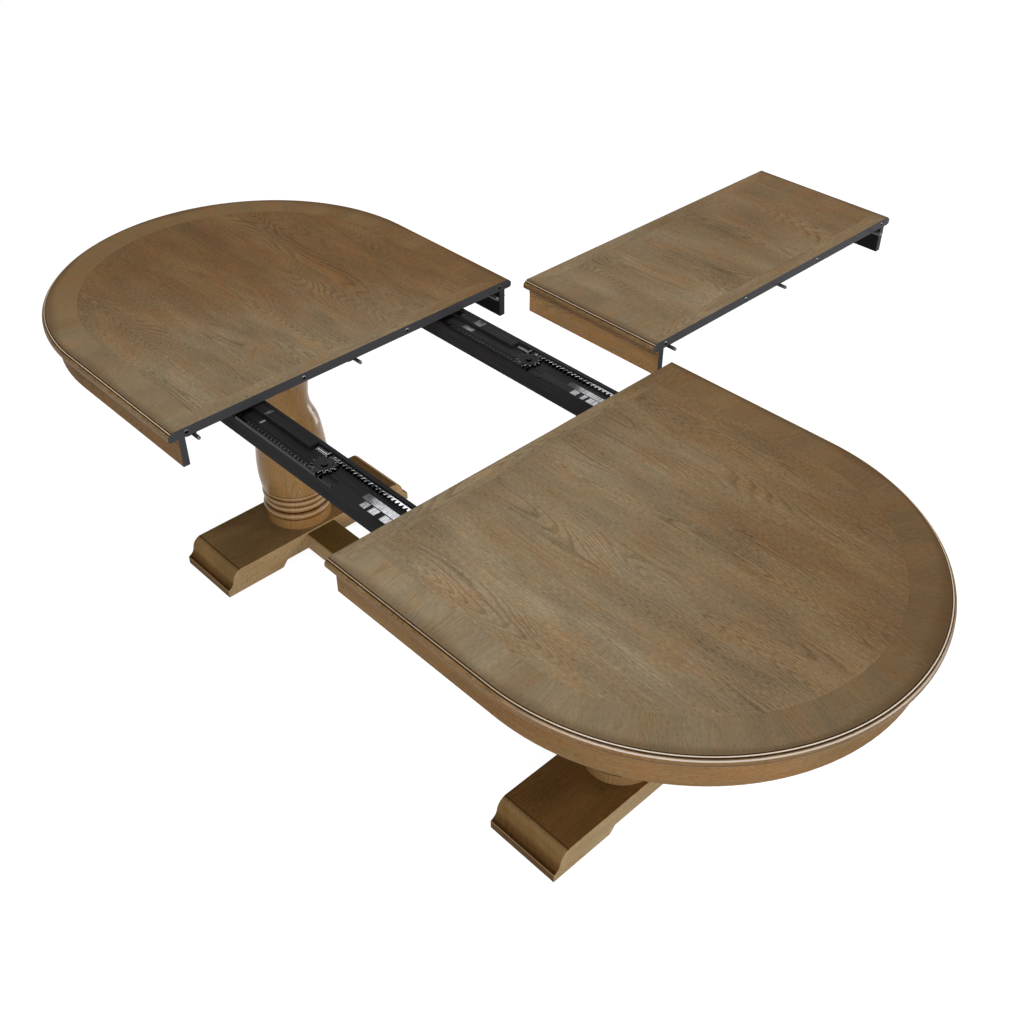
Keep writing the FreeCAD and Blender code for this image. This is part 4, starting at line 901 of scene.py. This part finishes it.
for name, body in (("left_near_rack", "left_half"), ("left_far_rack", "left_half"),
                   ("right_near_rack", "right_half"), ("right_far_rack", "right_half"),
                   ("near_gear", "near_gear"), ("far_gear", "far_gear")):
    eased_copy(name, body, tooth_edge, tooth_floor, tooth_longest).data.materials.append(material)

# Stop brackets. Folded steel, pressed with ribs along it.
rib_pitch, rib_foot, rib_crest = 0.0026, 0.0008, 0.0018
material, tree, point = new_material("ribbed_steel")
rib = ease(tree, sum_up(tree, "PINGPONG", split(tree, point)[1], rib_pitch), rib_foot, rib_crest)
colour = between(tree, rib, (0.01, 0.01, 0.011, 1), (0.34, 0.34, 0.36, 1))
finish_surface(tree, colour, 0.3, rib, depth=0.0006, strength=0.6, Metallic=1.0)
dress(material, "right_stop_brackets")

# Slide bolts. Turned steel rods with a dark grey finish.
material, tree, point = new_material("grey_steel")
speckle = speckled(tree, point, (90, 200, 200))
colour = between(tree, speckle, (0.04, 0.04, 0.042, 1), (0.14, 0.14, 0.145, 1))
finish_surface(tree, colour, sum_up(tree, "MULTIPLY_ADD", speckle, 0.25, 0.2), Metallic=0.85)
for part in ("left", "leaf"):
    dress(material, *(f"{part}_{place}_lock_bolt" for place in ("near", "middle", "far")))

# Seam bushes. Blackened steel, with a painted highlight over their upper rims.
material, tree, point = new_material("bush_steel")
low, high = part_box("left_seam_bushes")
rim_skin = 0.0005
wear_and_highlight = ease(tree, split(tree, point)[2], (low.z + high.z) / 2, high.z - rim_skin)
colour = between(tree, wear_and_highlight, (0.02, 0.02, 0.02, 1), (0.75, 0.75, 0.77, 1))
finish_surface(tree, colour, 0.3, Metallic=1.0)
dress(material, "left_seam_bushes", "leaf_seam_bushes")

# Bright steel. Zinc plated pins, screws, rail bolts, rods and nuts.
material, tree, point = new_material("bright_steel")
speckle = speckled(tree, point, (150, 150, 150))
colour = between(tree, speckle, (0.5, 0.5, 0.52, 1), (0.8, 0.8, 0.82, 1))
finish_surface(tree, colour, sum_up(tree, "MULTIPLY_ADD", speckle, 0.25, 0.18), Metallic=1.0)
dress(material, "right_seam_pins", "leaf_seam_pins", "left_slide_screws", "right_slide_screws",
      "rail_bolts", "tie_rods", "tie_nuts")

# Glides. Brown plastic discs nailed under the feet.
material, tree, point = new_material("glide_plastic")
speckle = speckled(tree, point, (400, 400, 400), detail=2.0, rough=0.5)
colour = between(tree, speckle, (0.03, 0.022, 0.016, 1), (0.06, 0.045, 0.035, 1))
finish_surface(tree, colour, sum_up(tree, "MULTIPLY_ADD", speckle, 0.2, 0.45))
dress(material, "foot_glides")
